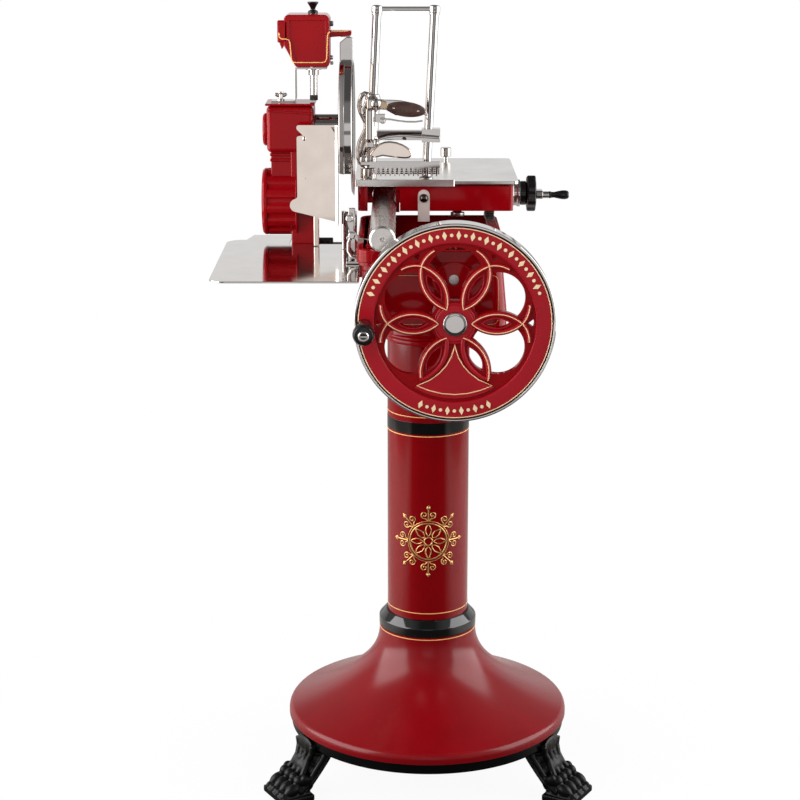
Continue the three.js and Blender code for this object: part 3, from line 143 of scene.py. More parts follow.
def ease(piece, width, segments=2, angle=32):
    """Eases the sharp edges and smooths what is left."""
    if width:
        apply(piece, "BEVEL", width=width * mm, segments=segments, limit_method="ANGLE",
            angle_limit=math.radians(angle), use_clamp_overlap=True)
    pick(piece)
    bpy.ops.object.shade_smooth_by_angle(angle=math.radians(angle))
    return apply(piece, "WEIGHTED_NORMAL", mode="FACE_AREA", weight=50, keep_sharp=True)


def outward(piece):
    pick(piece)
    edit()
    select_all()
    bpy.ops.mesh.remove_doubles(threshold=0.001 * mm)
    bpy.ops.mesh.normals_make_consistent(inside=False)
    leave_edit()
    return piece


def chain(points):
    """Draws a line of edges through points of the frame, and stays in edit mode."""
    deselect()
    bpy.ops.mesh.primitive_plane_add(size=mm, location=points[0])
    edit()
    bpy.ops.mesh.merge(type="CENTER")
    last = points[0]
    for point in points[1:]:
        bpy.ops.mesh.extrude_region_move(TRANSFORM_OT_translate={"value": point - last})
        last = point
    return bpy.context.object


def dress(piece, finish, body, *nodes):
    """Gives a piece its finish, the body that it moves with and the solids that it stands for."""
    piece.data.materials.clear()
    piece.data.materials.append(finish)
    if nodes:
        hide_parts(*nodes)
    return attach(piece, body)


def turned(name, middle, axis, profile, steps=96, width=0.5, segments=2, angle=32):
    """A piece from the lathe: pairs of radius and height on the axis, closed if both ends stand off it."""
    if profile[0][0] and profile[-1][0]:
        profile = [*profile, profile[0]]
    across = X if abs(axis.z) > 0.5 else Z
    across = (across - axis * across.dot(axis)).normalized()
    points = [middle + across * r * mm + axis * h * mm for r, h in profile]
    piece = chain(points)
    select_all()
    bpy.ops.mesh.spin(steps=steps, angle=math.tau, center=middle, axis=axis)
    leave_edit()
    outward(piece)
    settle(piece, name)
    return ease(piece, width, segments, angle)


def outlined(name, points, depth, width=0.6, segments=2, angle=32):
    """A flat outline through points of the frame, drawn out by a vector in millimetres."""
    piece = chain(points)
    select_all()
    bpy.ops.mesh.edge_face_add()
    bpy.ops.mesh.extrude_region_move(TRANSFORM_OT_translate={"value": depth * mm})
    leave_edit()
    outward(piece)
    settle(piece, name)
    return ease(piece, width, segments, angle)


def block(name, x0, x1, y0, y1, z0, z1, width=0.8, segments=3):
    deselect()
    middle = place((x0 + x1) / 2, (y0 + y1) / 2, (z0 + z1) / 2)
    bpy.ops.mesh.primitive_cube_add(size=1, location=middle, scale=((x1 - x0) * mm, (y1 - y0) * mm,
        (z1 - z0) * mm))
    piece = settle(bpy.context.object, name)
    return ease(piece, width, segments)


def ball(name, middle, radii, turn=(0, 0, 0), segments=24):
    deselect()
    bpy.ops.mesh.primitive_uv_sphere_add(segments=segments, ring_count=segments // 2, radius=1,
        location=middle, rotation=[math.radians(t) for t in turn], scale=[r * mm for r in radii])
    piece = settle(bpy.context.object, name)
    bpy.ops.object.shade_smooth()
    return piece


def strand(name, points, radius, closed=False, roundness=2):
    """A rod bent along points of the frame."""
    piece = chain([*points, points[0]] if closed else points)
    select_all()
    bpy.ops.mesh.remove_doubles(threshold=0.001 * mm)
    leave_edit()
    settle(piece, name)
    bpy.ops.object.convert(target="CURVE")
    piece = bpy.context.object
    piece.data.bevel_depth = radius * mm
    piece.data.bevel_resolution = roundness
    piece.data.use_fill_caps = not closed
    bpy.ops.object.convert(target="MESH")
    piece = bpy.context.object
    bpy.ops.object.shade_smooth()
    return piece


def joined(name, pieces):
    deselect()
    for piece in pieces:
        piece.select_set(True)
    bpy.context.view_layer.objects.active = pieces[0]
    bpy.ops.object.join()
    piece = bpy.context.object
    piece.name = name
    piece.data.name = name
    return piece


def drop(piece):
    bpy.data.objects.remove(piece, do_unlink=True)


def carve(piece, tool, operation="DIFFERENCE"):
    apply(piece, "BOOLEAN", object=tool, operation=operation, solver="EXACT")
    drop(tool)
    return piece


def refined(node, finish, width=0.6, segments=2, angle=32):
    """A copy of a CAD solid with its edges eased, which stands for it."""
    pick(frame["nodes"][node])
    bpy.ops.object.duplicate()
    piece = bpy.context.object
    piece.parent = None
    body = piece["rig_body"]
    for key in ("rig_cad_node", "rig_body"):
        del piece[key]
    edit()
    select_all()
    bpy.ops.mesh.remove_doubles(threshold=0.002 * mm)
    bpy.ops.mesh.dissolve_limited(angle_limit=math.radians(0.5))
    leave_edit()
    piece.name = node + "_eased"
    ease(piece, width, segments, angle)
    return dress(piece, finish, body, node)


def rod_profile(radius, start, end):
    return [(0, start), (radius, start), (radius, end), (0, end)]


def tube_profile(inner, outer, start, end):
    return [(inner, start), (outer, start), (outer, end), (inner, end)]


def arc(cx, cy, radius, start, end, steps):
    """Pairs on a circle, from one angle to another in degrees."""
    angles = [math.radians(start + (end - start) * i / steps) for i in range(steps + 1)]
    return [(cx + radius * math.cos(a), cy + radius * math.sin(a)) for a in angles]


def spun(points, angle):
    """Turns a flat shape about its middle, by an angle in degrees."""
    c, s = math.cos(math.radians(angle)), math.sin(math.radians(angle))
    return [(u * c - v * s, u * s + v * c) for u, v in points]


# Finishes
class Flow:
    """A value on its way through a material, so that sums are written as plain arithmetic."""

    def __init__(self, tree, socket):
        self.tree = tree
        self.socket = socket

    def work(self, operation, *others):
        values = dict(enumerate((self, *others)))
        return add_node(self.tree, "ShaderNodeMath", {"operation": operation}, values)

    def split(self):
        """The X, Y and Z of a vector."""
        node = self.tree.nodes.new("ShaderNodeSeparateXYZ")
        feed(self.tree, node.inputs[0], self)
        return [Flow(self.tree, socket) for socket in node.outputs]

    def __add__(self, other):
        return self.work("ADD", other)

    def __sub__(self, other):
        return self.work("SUBTRACT", other)

    def __rsub__(self, other):
        return self.work("MULTIPLY", -1).work("ADD", other)

    def __mul__(self, other):
        return self.work("MULTIPLY", other)

    def __truediv__(self, other):
        return self.work("DIVIDE", other)

    def clamped(self):
        return self.work("MAXIMUM", 0).work("MINIMUM", 1)


def feed(tree, entry, value):
    if isinstance(value, Flow):
        tree.links.new(value.socket, entry)
    else:
        entry.default_value = value


def add_node(tree, kind, settings, values, output=0):
    node = tree.nodes.new(kind)
    for key, value in settings.items():
        setattr(node, key, value)
    for key, value in values.items():
        feed(tree, node.inputs[key], value)
    return Flow(tree, node.outputs[output])


class Finish:
    """A material under construction: its shader, its object coordinates and a way to add any node."""

    def __init__(self, name, base, roughness, metallic=0.0):
        self.material = bpy.data.materials.new(name)
        self.material.use_nodes = True
        self.tree = self.material.node_tree
        self.shader = self.tree.nodes["Principled BSDF"]
        self.base = colour(*base)
        self.shader.inputs["Base Color"].default_value = self.base
        self.shader.inputs["Roughness"].default_value = roughness
        self.shader.inputs["Metallic"].default_value = metallic
        self.coordinates = self.node("ShaderNodeTexCoord", {}, {}, "Object")

    def node(self, kind, settings, values, output=0):
        return add_node(self.tree, kind, settings, values, output)

    def set(self, **values):
        for key, value in values.items():
            feed(self.tree, self.shader.inputs[key.replace("_", " ")], value)

    def scaled(self, x, y, z):
        return self.node("ShaderNodeMapping", {}, {"Vector": self.coordinates, "Scale": (x, y, z)})

    def noise(self, scale, detail=2, roughness=0.5, vector=None):
        return self.node("ShaderNodeTexNoise", {}, {"Vector": vector or self.coordinates, "Scale": scale,
            "Detail": detail, "Roughness": roughness})

    def blend(self, share, first, second):
        return self.node("ShaderNodeMix", {"data_type": "RGBA"}, {"Factor": share, 6: first, 7: second}, 2)

    def bump(self, height, strength, distance):
        self.set(Normal=self.node("ShaderNodeBump", {}, {"Height": height, "Strength": strength,
            "Distance": distance * mm}))
        return self

    def shade(self, scale, darker, lighter):
        """Lets the colour wander between a darker and a lighter share of itself."""
        dark = tuple(c * darker for c in self.base[:3]) + (1.0,)
        light = tuple(min(1.0, c * lighter) for c in self.base[:3]) + (1.0,)
        cloud = ((self.noise(scale, 3) - 0.3) * 2.5).clamped()
        self.set(Base_Color=self.blend(cloud, dark, light))


def enamel(name, base, roughness, peel, spread=0.04, gloss=0.5):
    finish = Finish(name, base, roughness)
    finish.set(Specular_IOR_Level=gloss)
    finish.shade(14, 0.93, 1.06)
    finish.set(Roughness=finish.noise(22, 3) * spread + (roughness - spread / 2))
    return finish.bump(finish.noise(420, 1), peel, 0.08).material


def bright_metal(name, base, roughness, spread=0.05, scratch=0.06, run=(1, 1, 1)):
    finish = Finish(name, base, roughness, 1.0)
    finish.shade(30, 0.95, 1.03)
    lines = finish.noise(600, 3, 0.6, finish.scaled(*run))
    smear = finish.noise(9, 2)
    finish.set(Roughness=smear * spread + lines * (spread * 0.7) + (roughness - spread * 0.8))
    return finish.bump(lines, scratch, 0.02).material


def cast_iron(name, base, roughness):
    finish = Finish(name, base, roughness)
    finish.set(Specular_IOR_Level=0.3)
    finish.shade(60, 0.75, 1.3)
    grain = finish.noise(700, 4, 0.65)
    finish.set(Roughness=grain * 0.25 + (roughness - 0.12))
    return finish.bump(grain, 0.25, 0.25).material


red_enamel = enamel("red_enamel", (142, 4, 13), 0.09, 0.05, gloss=0.2)
# A darker copy of the red enamel: painted shade on the column
column_red_painted_shade = enamel("column_red_painted_shade", (122, 1, 7), 0.09, 0.05, gloss=0.4)
# A darker, duller copy of the red enamel: painted shade in the flywheel's recessed web
recess_red_painted_shade = enamel("recess_red_painted_shade", (138, 3, 10), 0.12, 0.05, gloss=0.08)
# A darker copy of the red enamel: painted shade on the bell of the base
bell_red_painted_shade = enamel("bell_red_painted_shade", (124, 3, 12), 0.22, 0.05, gloss=0.36)
satin_red = enamel("satin_red", (160, 16, 30), 0.3, 0.1, 0.08, 0.26)
black_enamel = enamel("black_enamel", (7, 8, 8), 0.2, 0.05, gloss=0.2)
black_gloss = enamel("black_gloss", (5, 6, 6), 0.07, 0.04, gloss=0.75)
cast_black = cast_iron("cast_black", (9, 9, 8), 0.36)
gold_line = enamel("gold_line", (246, 184, 116), 0.35, 0.05, 0.08)
pale_line = enamel("pale_line", (250, 204, 156), 0.35, 0.05, 0.08)
cream_line = enamel("cream_line", (244, 222, 178), 0.4, 0.05, 0.08)
gilding = bright_metal("gilding", (236, 194, 128), 0.34, 0.1)
chrome = bright_metal("chrome", (200, 195, 192), 0.07, 0.04)
mirror = bright_metal("mirror_steel", (236, 222, 212), 0.07, 0.05, 0.03)
brushed = bright_metal("brushed_steel", (228, 224, 220), 0.22, 0.12, 0.12, (0.03, 1, 1))
ground = bright_metal("ground_steel", (190, 189, 187), 0.26, 0.12, 0.1)
bronze = bright_metal("bronze", (168, 122, 64), 0.3, 0.12)
tray_steel = bright_metal("tray_steel", (214, 209, 205), 0.09, 0.05, 0.03)
# A darker copy of the chrome for the clamp rods: painted shade
post_chrome_painted_shade = bright_metal("post_chrome_painted_shade", (182, 179, 177), 0.12, 0.04)
bar_steel = bright_metal("bar_steel", (226, 220, 216), 0.26, 0.12, 0.1, (1, 0.04, 1))
brass = bright_metal("brass", (196, 174, 148), 0.2, 0.1)
black_chrome = bright_metal("black_chrome", (92, 84, 82), 0.12, 0.05)
nickel = enamel("satin_nickel", (206, 190, 184), 0.3, 0.05)
black_plastic = enamel("black_plastic", (14, 14, 14), 0.2, 0.04, 0.08)
grey_plastic = enamel("grey_plastic", (96, 96, 98), 0.4, 0.05, 0.1)


def horn_brown():
    finish = Finish("brown_scale", (66, 44, 38), 0.34)
    streaks = finish.noise(160, 4, 0.6, finish.scaled(0.25, 1, 1))
    finish.set(Base_Color=finish.blend((streaks - 0.2) * 1.6, colour(48, 30, 26), colour(92, 66, 56)))
    finish.set(Roughness=streaks * 0.2 + 0.25)
    return finish.bump(streaks, 0.12, 0.1).material


def whetstone():
    finish = Finish("whetstone", (52, 49, 46), 0.85)
    grit = finish.noise(1500, 2, 0.7)
    finish.shade(300, 0.7, 1.4)
    return finish.bump(grit, 0.5, 0.2).material


brown_scale = horn_brown()
stone = whetstone()

# Camera, light and floor
camera_data = bpy.data.cameras.new("camera")
camera_data.sensor_width = 36
camera_data.lens = 90
camera = bpy.data.objects.new("camera", camera_data)
bpy.context.scene.collection.objects.link(camera)
camera.location = place(-52, -3560.5, 1641.4)
degrees_down = 14.5
camera.rotation_euler = (math.radians(90 - degrees_down), 0, 0)
bpy.context.scene.camera = camera
bpy.context.scene.view_settings.view_transform = "Standard"


def studio():
    world = bpy.data.worlds.new("studio")
    bpy.context.scene.world = world
    world.use_nodes = True
    tree = world.node_tree
    background = tree.nodes["Background"]
    across, depth, up = add_node(tree, "ShaderNodeTexCoord", {}, {}, "Generated").split()
    across = across.work("ABSOLUTE")

    def ramp(value, start, end):
        return ((value - start) / (end - start)).clamped()

    # White walls beside and behind the object, darker above and low down behind it
    high = ramp(up, 0.3, 0.42)
    low_behind = ramp(depth, 0.7, 0.8) * ramp(up, 0.0, -0.06)
    walls = ramp(depth, -0.72, -0.56) * (0.84 - high * 0.74 - low_behind * 0.5)
    # Behind the camera a grey room, with a white patch in its middle that a dark gap divides
    flank = ramp(across, 0.4, 0.5) * 0.22 + 0.24
    gap = 1 - ramp(up, -0.05, -0.02) * ramp(up, 0.08, 0.05)
    patch = ramp(up, -0.42, -0.32) * ramp(up, 0.32, 0.26) * ramp(across, 0.24, 0.17) * gap * 0.84
    front = ramp(depth, -0.5, -0.66) * flank.work("MAXIMUM", patch)
    # Two soft panels overhead, left and right
    panels = high * (ramp(across, 0.15, 0.5) * 0.4 + 0.04)
    level = walls.work("MAXIMUM", front).work("MAXIMUM", panels).work("MAXIMUM", 0.03)
    seen = add_node(tree, "ShaderNodeLightPath", {}, {}, "Is Camera Ray")
    feed(tree, background.inputs["Strength"], seen + (1 - seen) * level)
    background.inputs["Color"].default_value = (1, 1, 1, 1)


def lamp(name, spot, target, size, power, seen=False):
    data = bpy.data.lights.new(name, "AREA")
    data.shape = "RECTANGLE"
    data.size, data.size_y = size
    data.energy = power
    light = bpy.data.objects.new(name, data)
    bpy.context.scene.collection.objects.link(light)
    light.location = spot
    light.rotation_euler = (Vector(spot) - Vector(target)).to_track_quat("Z", "Y").to_euler()
    light.visible_glossy = seen


def floor():
    deselect()
    bpy.ops.mesh.primitive_circle_add(vertices=96, radius=3.2, fill_type="NGON", location=(0, 0, 0))
    piece = settle(bpy.context.object, "floor")
    finish = Finish("floor_white", (236, 236, 236), 0.8)
    tree = finish.tree
    distance = finish.node("ShaderNodeVectorMath", {"operation": "LENGTH"}, {0: finish.coordinates},
        "Value")
    far = ((distance - 0.45) / 0.5).clamped()
    camera_ray = finish.node("ShaderNodeLightPath", {}, {}, "Is Camera Ray")
    glow = finish.node("ShaderNodeEmission", {}, {"Color": (1, 1, 1, 1), "Strength": 1.0})
    share = camera_ray * (far * 0.06 + 0.94)
    # In reflections the strip of floor in front of the object is seen dark
    sideways, depth = finish.coordinates.split()[:2]
    beside = ((sideways.work("ABSOLUTE") + depth * 0.9 - 0.1) * 1.4).clamped()
    tone = finish.blend(beside, colour(44, 41, 40), colour(200, 194, 190))
    finish.set(Base_Color=finish.blend(camera_ray, tone, finish.base))
    surface = Flow(tree, finish.shader.outputs[0])
    mix = finish.node("ShaderNodeMixShader", {}, {0: share, 1: surface, 2: glow})
    feed(tree, tree.nodes["Material Output"].inputs["Surface"], mix)
    piece.data.materials.append(finish.material)


studio()
lamp("box_left", (-2.15, -0.5, 1.5), (0, 0, 1.3), (2.8, 2.4), 84, True)
lamp("box_right", (2.2, -0.1, 1.5), (0, 0, 1.3), (2.6, 2.4), 66, True)
lamp("front", (-0.7, -3.2, 2.4), (0, 0, 0.9), (1.8, 1.2), 30)
lamp("top", (0.2, 0.4, 3.4), (0, 0, 1.0), (1.6, 1.6), 12)
floor()

# Pedestal
foot_point = place(0, 0, 0)


def paw_feet():
    """A lion's paw on a plinth, carved from rounded lumps and tendons, then cast in one."""
    lumps = [
        block("plinth", 266, 330, -43, 43, 0, 13, 2),
        block("plinth_step", 270, 326, -38, 38, 9, 19, 4),
        ball("heel", place(272, 0, 26), (20, 33, 20)),
        ball("instep", place(260, 0, 50), (22, 30, 26), (0, 35, 0)),
        ball("shin", place(244, 0, 72), (27, 31, 21), (0, 25, 0)),
        ball("shoulder_low", place(238, 0, 84), (30, 34, 8.5)),
        ball("shoulder_high", place(262, 0, 97), (5.5, 30, 15)),
    ]
    for across in (-30.5, -10.3, 10.3, 30.5):
        lumps += [
            ball("toe", place(306, across, 25), (17, 10, 11), (0, 24, 0)),
            ball("knuckle", place(290, across * 0.93, 39), (12, 9.6, 11)),
            ball("claw", place(323, across, 16), (8, 5, 6.5), (0, 40, 0)),
        ]
        tendon = path((288, across * 0.93, 40), (277, across * 0.74, 55), (268, across * 0.66, 72),
            (262, across * 0.82, 88), (262, across * 0.95, 102))
        lumps.append(strand("tendon", tendon, 5.8, roundness=3))
    for side in (-1, 1):
        fetlock = path((294, side * 35, 19), (278, side * 35, 29), (265, side * 32, 46),
            (254, side * 33, 62), (238, side * 33, 83))
        fur = path((283, side * 33, 24), (268, side * 35, 33), (249, side * 30, 50), (232, side * 27, 68),
            (221, side * 27, 84))
        lumps += [strand("fetlock", fetlock, 5.4), strand("fur", fur, 4.8)]
        lumps.append(ball("dewclaw", place(281, side * 36, 42), (10, 6.5, 11), (0, 30, 0)))
    paw = joined("paw", lumps)
    apply(paw, "REMESH", mode="VOXEL", voxel_size=1.6 * mm)
    apply(paw, "SMOOTH", factor=0.5, iterations=2)
    pick(paw)
    bpy.ops.object.shade_smooth()
    for name, angle in (("right", 330), ("rear", 90), ("left", 210)):
        pick(paw)
        bpy.ops.object.duplicate()
        foot = bpy.context.object
        turn = Matrix.Translation(foot_point) @ Matrix.Rotation(math.radians(angle), 4, "Z")
        foot.matrix_world = turn @ Matrix.Translation(-foot_point)
        settle(foot, "lion_paw_" + name)
        dress(foot, cast_black, "frame", "paw_foot_" + name)
    drop(paw)


def shifted(profile, depth):
    """The same profile moved inwards, square to its own line."""
    moved = []
    for before, here, after in zip(profile, profile[1:], profile[2:]):
        run, rise = after[0] - before[0], after[1] - before[1]
        length = math.hypot(run, rise)
        moved.append((here[0] - depth * rise / length, here[1] + depth * run / length))
    return moved


def pedestal():
    ring = tube_profile(208, 258, 93.3, 113.7)
    dress(turned("base_ring_turned", foot_point, Z, ring, 128, 3, 3), black_enamel, "frame", "base_ring")
    bell = [(262.6, 114), (262.6, 121), (261.9, 125.5), (260.4, 129)]
    for i in range(29):
        share = (i / 28) ** 1.5
        bell.append((90 + 168 * (1 - share) ** 2.3, 132 + 156 * share))
    inner = [(r, z) for r, z in shifted(bell, 9) if z < 250 and r < 250]
    whole = [*bell, (75.3, 288), (75.3, 262), (69, 262), (69, 250), (81, 250), *reversed(inner),
        (253.6, 114)]
    dress(turned("bell_base", foot_point, Z, whole, 160, 0), bell_red_painted_shade, "frame", "base_flare")
    barrel = [(75.3, 288.3), (89.4, 288.3), (90.8, 290), (90.8, 304), (89.6, 306.4), (79, 318),
        (77.6, 318.8), (75.3, 318.8)]
    dress(turned("barrel_collar", foot_point, Z, barrel, 128, 0.4), black_gloss, "frame", "column_collar")
    tube = tube_profile(69, 75, 262.3, 838)
    dress(turned("column", foot_point, Z, tube, 128, 0.6), column_red_painted_shade, "frame", "column_tube")
    plate = tube_profile(30, 79, 838.3, 848.3)
    dress(turned("column_cap", foot_point, Z, plate, 128, 2.2, 3), red_enamel, "frame", "column_top_plate")
    band = tube_profile(74.7, 75.4, 674, 696)
    dress(turned("painted_band", foot_point, Z, band, 128, 0.2), black_gloss, "frame")
    for number, (radius, height) in enumerate(((90.1, 284.6), (75, 331), (75, 670.6), (75, 706.5))):
        line = [(radius - 0.4, height - 0.9), (radius + 0.5, height - 0.6), (radius + 0.5, height + 0.6),
            (radius - 0.4, height + 0.9)]
        dress(turned(f"gold_ring_{number}", foot_point, Z, line, 128, 0), gold_line, "frame")


def round_the_column(across, up):
    """A place on the front of the column, from lengths measured along its skin."""
    radius, skin = 75, 75.1
    angle = across / radius
    return place(skin * math.sin(angle), -skin * math.cos(angle), up)


def rosette():
    """A round gilded rosette with petals, scrolls and beads, wrapped on the column."""
    middle, scale = 472, 1.15
    lines = []

    def wrapped(points, radius, closed=False):
        shape = [round_the_column(u * scale, middle + v * scale) for u, v in points]
        lines.append(strand("stroke", shape, radius, closed, 1))

    def ring(radius, thick):
        wrapped(arc(0, 0, radius, 0, 352.5, 47), thick, True)

    ring(6.5, 1.4)
    ring(30, 1.5)
    ring(33.8, 0.8)
    for number in range(8):
        turn = 45 * number
        leaf = [(8, 0), (13, 3.6), (19, 4.6), (25, 2.4), (28.5, 0), (25, -2.4), (19, -4.6), (13, -3.6)]
        wrapped(spun(leaf, turn), 1.15, True)
        for side in (1, -1):
            curl = []
            for step in range(15):
                angle = math.radians(200 - 34 * step)
                size = 6.2 - 0.36 * step
                curl.append((44 + size * math.cos(angle), side * (6.6 + size * math.sin(angle))))
            wrapped(spun([(34, side * 1.2), *curl], turn), 1.1)
        wrapped(spun([(34, 0), (40, 0), (47, 0), (52.5, 0)], turn), 1.2)
        bud = [(52.5, 0), (55.5, 2.6), (60, 0), (55.5, -2.6)]
        wrapped(spun(bud, turn), 1.3, True)
        u, v = spun([(56, 0)], turn)[0]
        lines.append(ball("bead", round_the_column(u * scale, middle + v * scale), (2.2, 2.2, 2.2),
            segments=12))
    dress(joined("gilded_rosette", lines), gilding, "frame")


# Body of the machine, and the axes that its shafts share
drive_y = 155
drum_z, blade_z = 1065, 1199
wheel_x, wheel_z = 41, 919
bar_x, bar_z = -82, 1056
wheel_middle = place(wheel_x, 0, wheel_z)
bar_middle = place(bar_x, 0, bar_z)
cross_shaft_middle = place(0, drive_y, 979)
drum_middle = place(0, drive_y, drum_z)
blade_middle = place(0, drive_y, blade_z)


def body_shell():
    """An open topped casting with a cornice, on a round neck."""
    shell = block("body_shell", -118, 134, -165, 200, 887, 1030, 0)
    hollow = block("hollow", -108, 117, -155, 190, 896, 1040, 0)
    for piece, radius in ((shell, 24), (hollow, 14)):
        pick(piece)
        edit()
        select_none()
        bpy.ops.mesh.select_mode(type="EDGE")
        leave_edit()
        for edge in piece.data.edges:
            a, b = [piece.data.vertices[i].co for i in edge.vertices]
            edge.select = abs(a.z - b.z) > 0.05
        edit()
        bpy.ops.mesh.bevel(offset=radius * mm, segments=8)
        bpy.ops.mesh.select_mode(type="VERT")
        leave_edit()
    pick(shell)
    edit()
    for height in (wheel_z, 993):
        select_all()
        bpy.ops.mesh.bisect(plane_co=place(0, 0, height), plane_no=(0, 0, 1))
    select_none()
    leave_edit()
    edge_x = place(100, 0, 0).x
    for vertex in shell.data.vertices:
        vertex.select = vertex.co.x > edge_x and vertex.co.z > 0.99
    edit()
    bpy.ops.transform.translate(value=(-7 * mm, 0, 0))
    leave_edit()
    carve(shell, hollow)
    ease(shell, 2, 3)
    lip = [*arc(103, -146, 28, -90, 0, 8), *arc(103, 181, 28, 0, 90, 8), *arc(-99, 181, 28, 90, 180, 8),
        *arc(-99, -146, 28, 180, 270, 8)]
    cornice = outlined("cornice", lying(lip, 1008), Z * 22, 0)
    bead = outlined("cornice_bead", [place(x * 0.985 + 0.3, y * 0.99, 1002) for x, y in lip], Z * 6, 0)
    for piece, width, segments in ((cornice, 4, 4), (bead, 2, 3)):
        carve(piece, block("mouth", -107.5, 116.5, -154.5, 189.5, 1000, 1040, 0))
        ease(piece, width, segments)
    neck = turned("neck", foot_point, Z, [(0, 848.6), (80, 848.6), (80, 853), (77, 857), (76, 866),
        (79, 880), (86, 889), (0, 889)], 96, 0.6)
    parts = [shell, cornice, bead, neck]
    for height, hub in ((wheel_z, 12.6), (979, 9.6)):
        middle = place(wheel_x, 0, height)
        boss = [(hub, -177), (31, -177), (32, -175), (32.4, -170), (36, -166), (38, -164), (hub, -164)]
        parts.append(turned("boss", middle, Y, boss, 64, 0.5))
        parts.append(turned("pillar_boss", middle, Y, tube_profile(hub, 22, 27, 53), 48, 1))
    parts.append(block("pillar", 10, 72, 33, 47, 892, 970, 2))
    for y in (-140, 150):
        cradle = [(-98, 1008), (-98, 1040.2), *arc(bar_x, bar_z, 22.8, 225, 315, 12), (-66, 1040.2),
            (-66, 1008)]
        parts.append(outlined("saddle", facing(cradle, y), Y * 32, 0.8))
        parts.append(block("saddle_tie", -113, -66, y, y + 32, 1008, 1030, 1))
    parts.append(block("case_arm", -209.7, -115, 125, 185, 925, 960, 4))
    parts.append(turned("sleeve_left", cross_shaft_middle, X, tube_profile(9.1, 17, -118, -96), 48, 0.8))
    parts.append(turned("sleeve_right", cross_shaft_middle, X, tube_profile(9.1, 17, 105, 118), 48, 0.8))
    dress(joined("machine_body", parts), red_enamel, "frame", "body_casting")


def body_trim():
    """A thin gold line round the front panel."""
    outline = [*arc(108, 975, 10, 90, 0, 6), *arc(108, 909, 10, 0, -90, 6),
        *arc(-92, 909, 10, -90, -180, 6), *arc(-92, 975, 10, 180, 90, 6)]
    panel_line = strand("panel_line", facing(outline, -165.3), 0.4, True, 1)
    dress(panel_line, gold_line, "frame")


def bar_and_rail():
    bar = [(0, -210), (3, -210), (3.6, -212), (19.5, -212), (22.5, -209), (22.5, 397), (19.5, 400),
        (0, 400)]
    dress(turned("guide_bar_polished", bar_middle, Y, bar, 96, 0.5), bar_steel, "frame", "guide_bar")
    refined("side_rail", ground, 1)


# Drive case
def drive_case():
    outline = []
    for flute in range(13):
        for share, depth in ((0.0, 2.4), (0.05, 3.4), (0.2, 4.2), (0.35, 3.4), (0.4, 2.4), (0.46, 0.6),
                (0.52, 0), (0.7, -0.4), (0.88, 0), (0.94, 0.6)):
            angle = (flute + share) * math.tau / 13
            radius = 62 - depth
            across, up = radius * math.cos(angle), radius * math.sin(angle)
            outline.append(place(-297, drive_y + across, drum_z + up))
    drum = outlined("drum", outline, X * 54, 0.5, 2)
    head = block("head", -297, -210, 115, 195, 1160, 1246, 9, 5)
    slant = [(-294, 1239), (-294, 1236), (-262, 1233), (-213, 1231), (-213, 1234.5), (-262, 1237)]
    parts = [
        drum, head,
        block("neck_core", -290, -242, 124, 186, 1090, 1165, 2),
        block("ridge_low", -292, -244, 121, 189, 1143, 1149, 2.4),
        block("ridge_high", -292, -244, 121, 189, 1153, 1159, 2.4),
        outlined("slanted_rib", facing(slant, 112.8), Y * 4, 1),
        block("plain_part", -254, -210, 119, 191, 925, 1170, 4, 4),
        turned("drum_flange", drum_middle, X, rod_profile(65, -245, -241), 96, 1.5, 3),
        block("plain_foot", -253, -211, 117.6, 192.4, 925, 938, 3),
        block("tray_shelf", -254, -210, 80, 155, 960, 987.7, 2),
    ]
    for z in (1118, 1186):
        parts.append(turned("hanging_pin", place(-226, 0, z), Y, rod_profile(3.9, 88.8, 119), 32, 0))
    dress(joined("drive_case_painted", parts), red_enamel, "frame", "drive_case")
    lid = block("case_lid_painted", -299, -208, 113, 197, 1246.3, 1250.3, 1.6, 3)
    dress(lid, red_enamel, "frame", "case_lid")
    cap = [(0, -297.3), (30, -297.3), (30, -302), (27, -305.3), (14, -305.3), (12, -304), (0, -304)]
    dress(turned("upper_cap", blade_middle, X, cap, 64, 1), red_enamel, "frame", "case_upper_cap")
    disc = [(0, -297.3), (62, -297.3), (62, -303), (58.5, -307.3), (48, -307.3), (46, -305.8), (0, -305.8)]
    dress(turned("side_disc", drum_middle, X, disc, 96, 1), red_enamel, "frame", "case_side_cover")
    sleeve = tube_profile(9.1, 17, -209.7, -177.7)
    dress(turned("black_sleeve", cross_shaft_middle, X, sleeve, 64, 1), black_gloss, "frame",
        "cross_shaft_sleeve")


# Blade, guard and their parts
def blade_parts():
    housing = tube_profile(11.6, 28, -209.7, -163.3)
    dress(turned("shaft_housing", blade_middle, X, housing, 96, 0.8), chrome, "frame",
        "blade_shaft_housing")
    disc = [(0, -148), (45, -148), (52, -141.5), (115, -141.5), (122, -137.6), (122, -137.2), (115, -138.5),
        (60, -139.6), (52, -138.5), (0, -138.5)]
    dress(turned("round_blade", blade_middle, X, disc, 160, 0.15), mirror, "blade_rotor", "blade")
    refined("blade_shaft", ground, 0.5)
    shell = [(-163, 125), (-161.6, 128), (-154, 130), (-152.6, 129), (-140, 129), (-138.5, 127.5),
        (-138.5, 123.5), (-159, 123.5), (-159, 33), (-163, 33)]
    points = []
    start = math.radians(24)
    for x, r in shell:
        points.append(place(x, drive_y + r * math.cos(start), blade_z + r * math.sin(start)))
    piece = chain(points)
    select_all()
    bpy.ops.mesh.edge_face_add()
    bpy.ops.mesh.spin(steps=96, angle=-math.radians(188), center=blade_middle, axis=X)
    leave_edit()
    outward(piece)
    settle(piece, "guard_band")
    ease(piece, 0.8, 3)
    hub = turned("guard_hub", blade_middle, X, tube_profile(11.6, 36, -163, -155), 64, 0.8)
    dress(joined("blade_guard_polished", [piece, hub]), chrome, "frame", "blade_guard")
    post = [(-162.4, 1325), (-139, 1325), (-139, 1366), (-141, 1368), (-150, 1368), (-162.4, 1358)]
    dress(outlined("guard_post_plate", facing(post, 147), Y * 16, 1.2, 3), chrome, "frame", "guard_post")


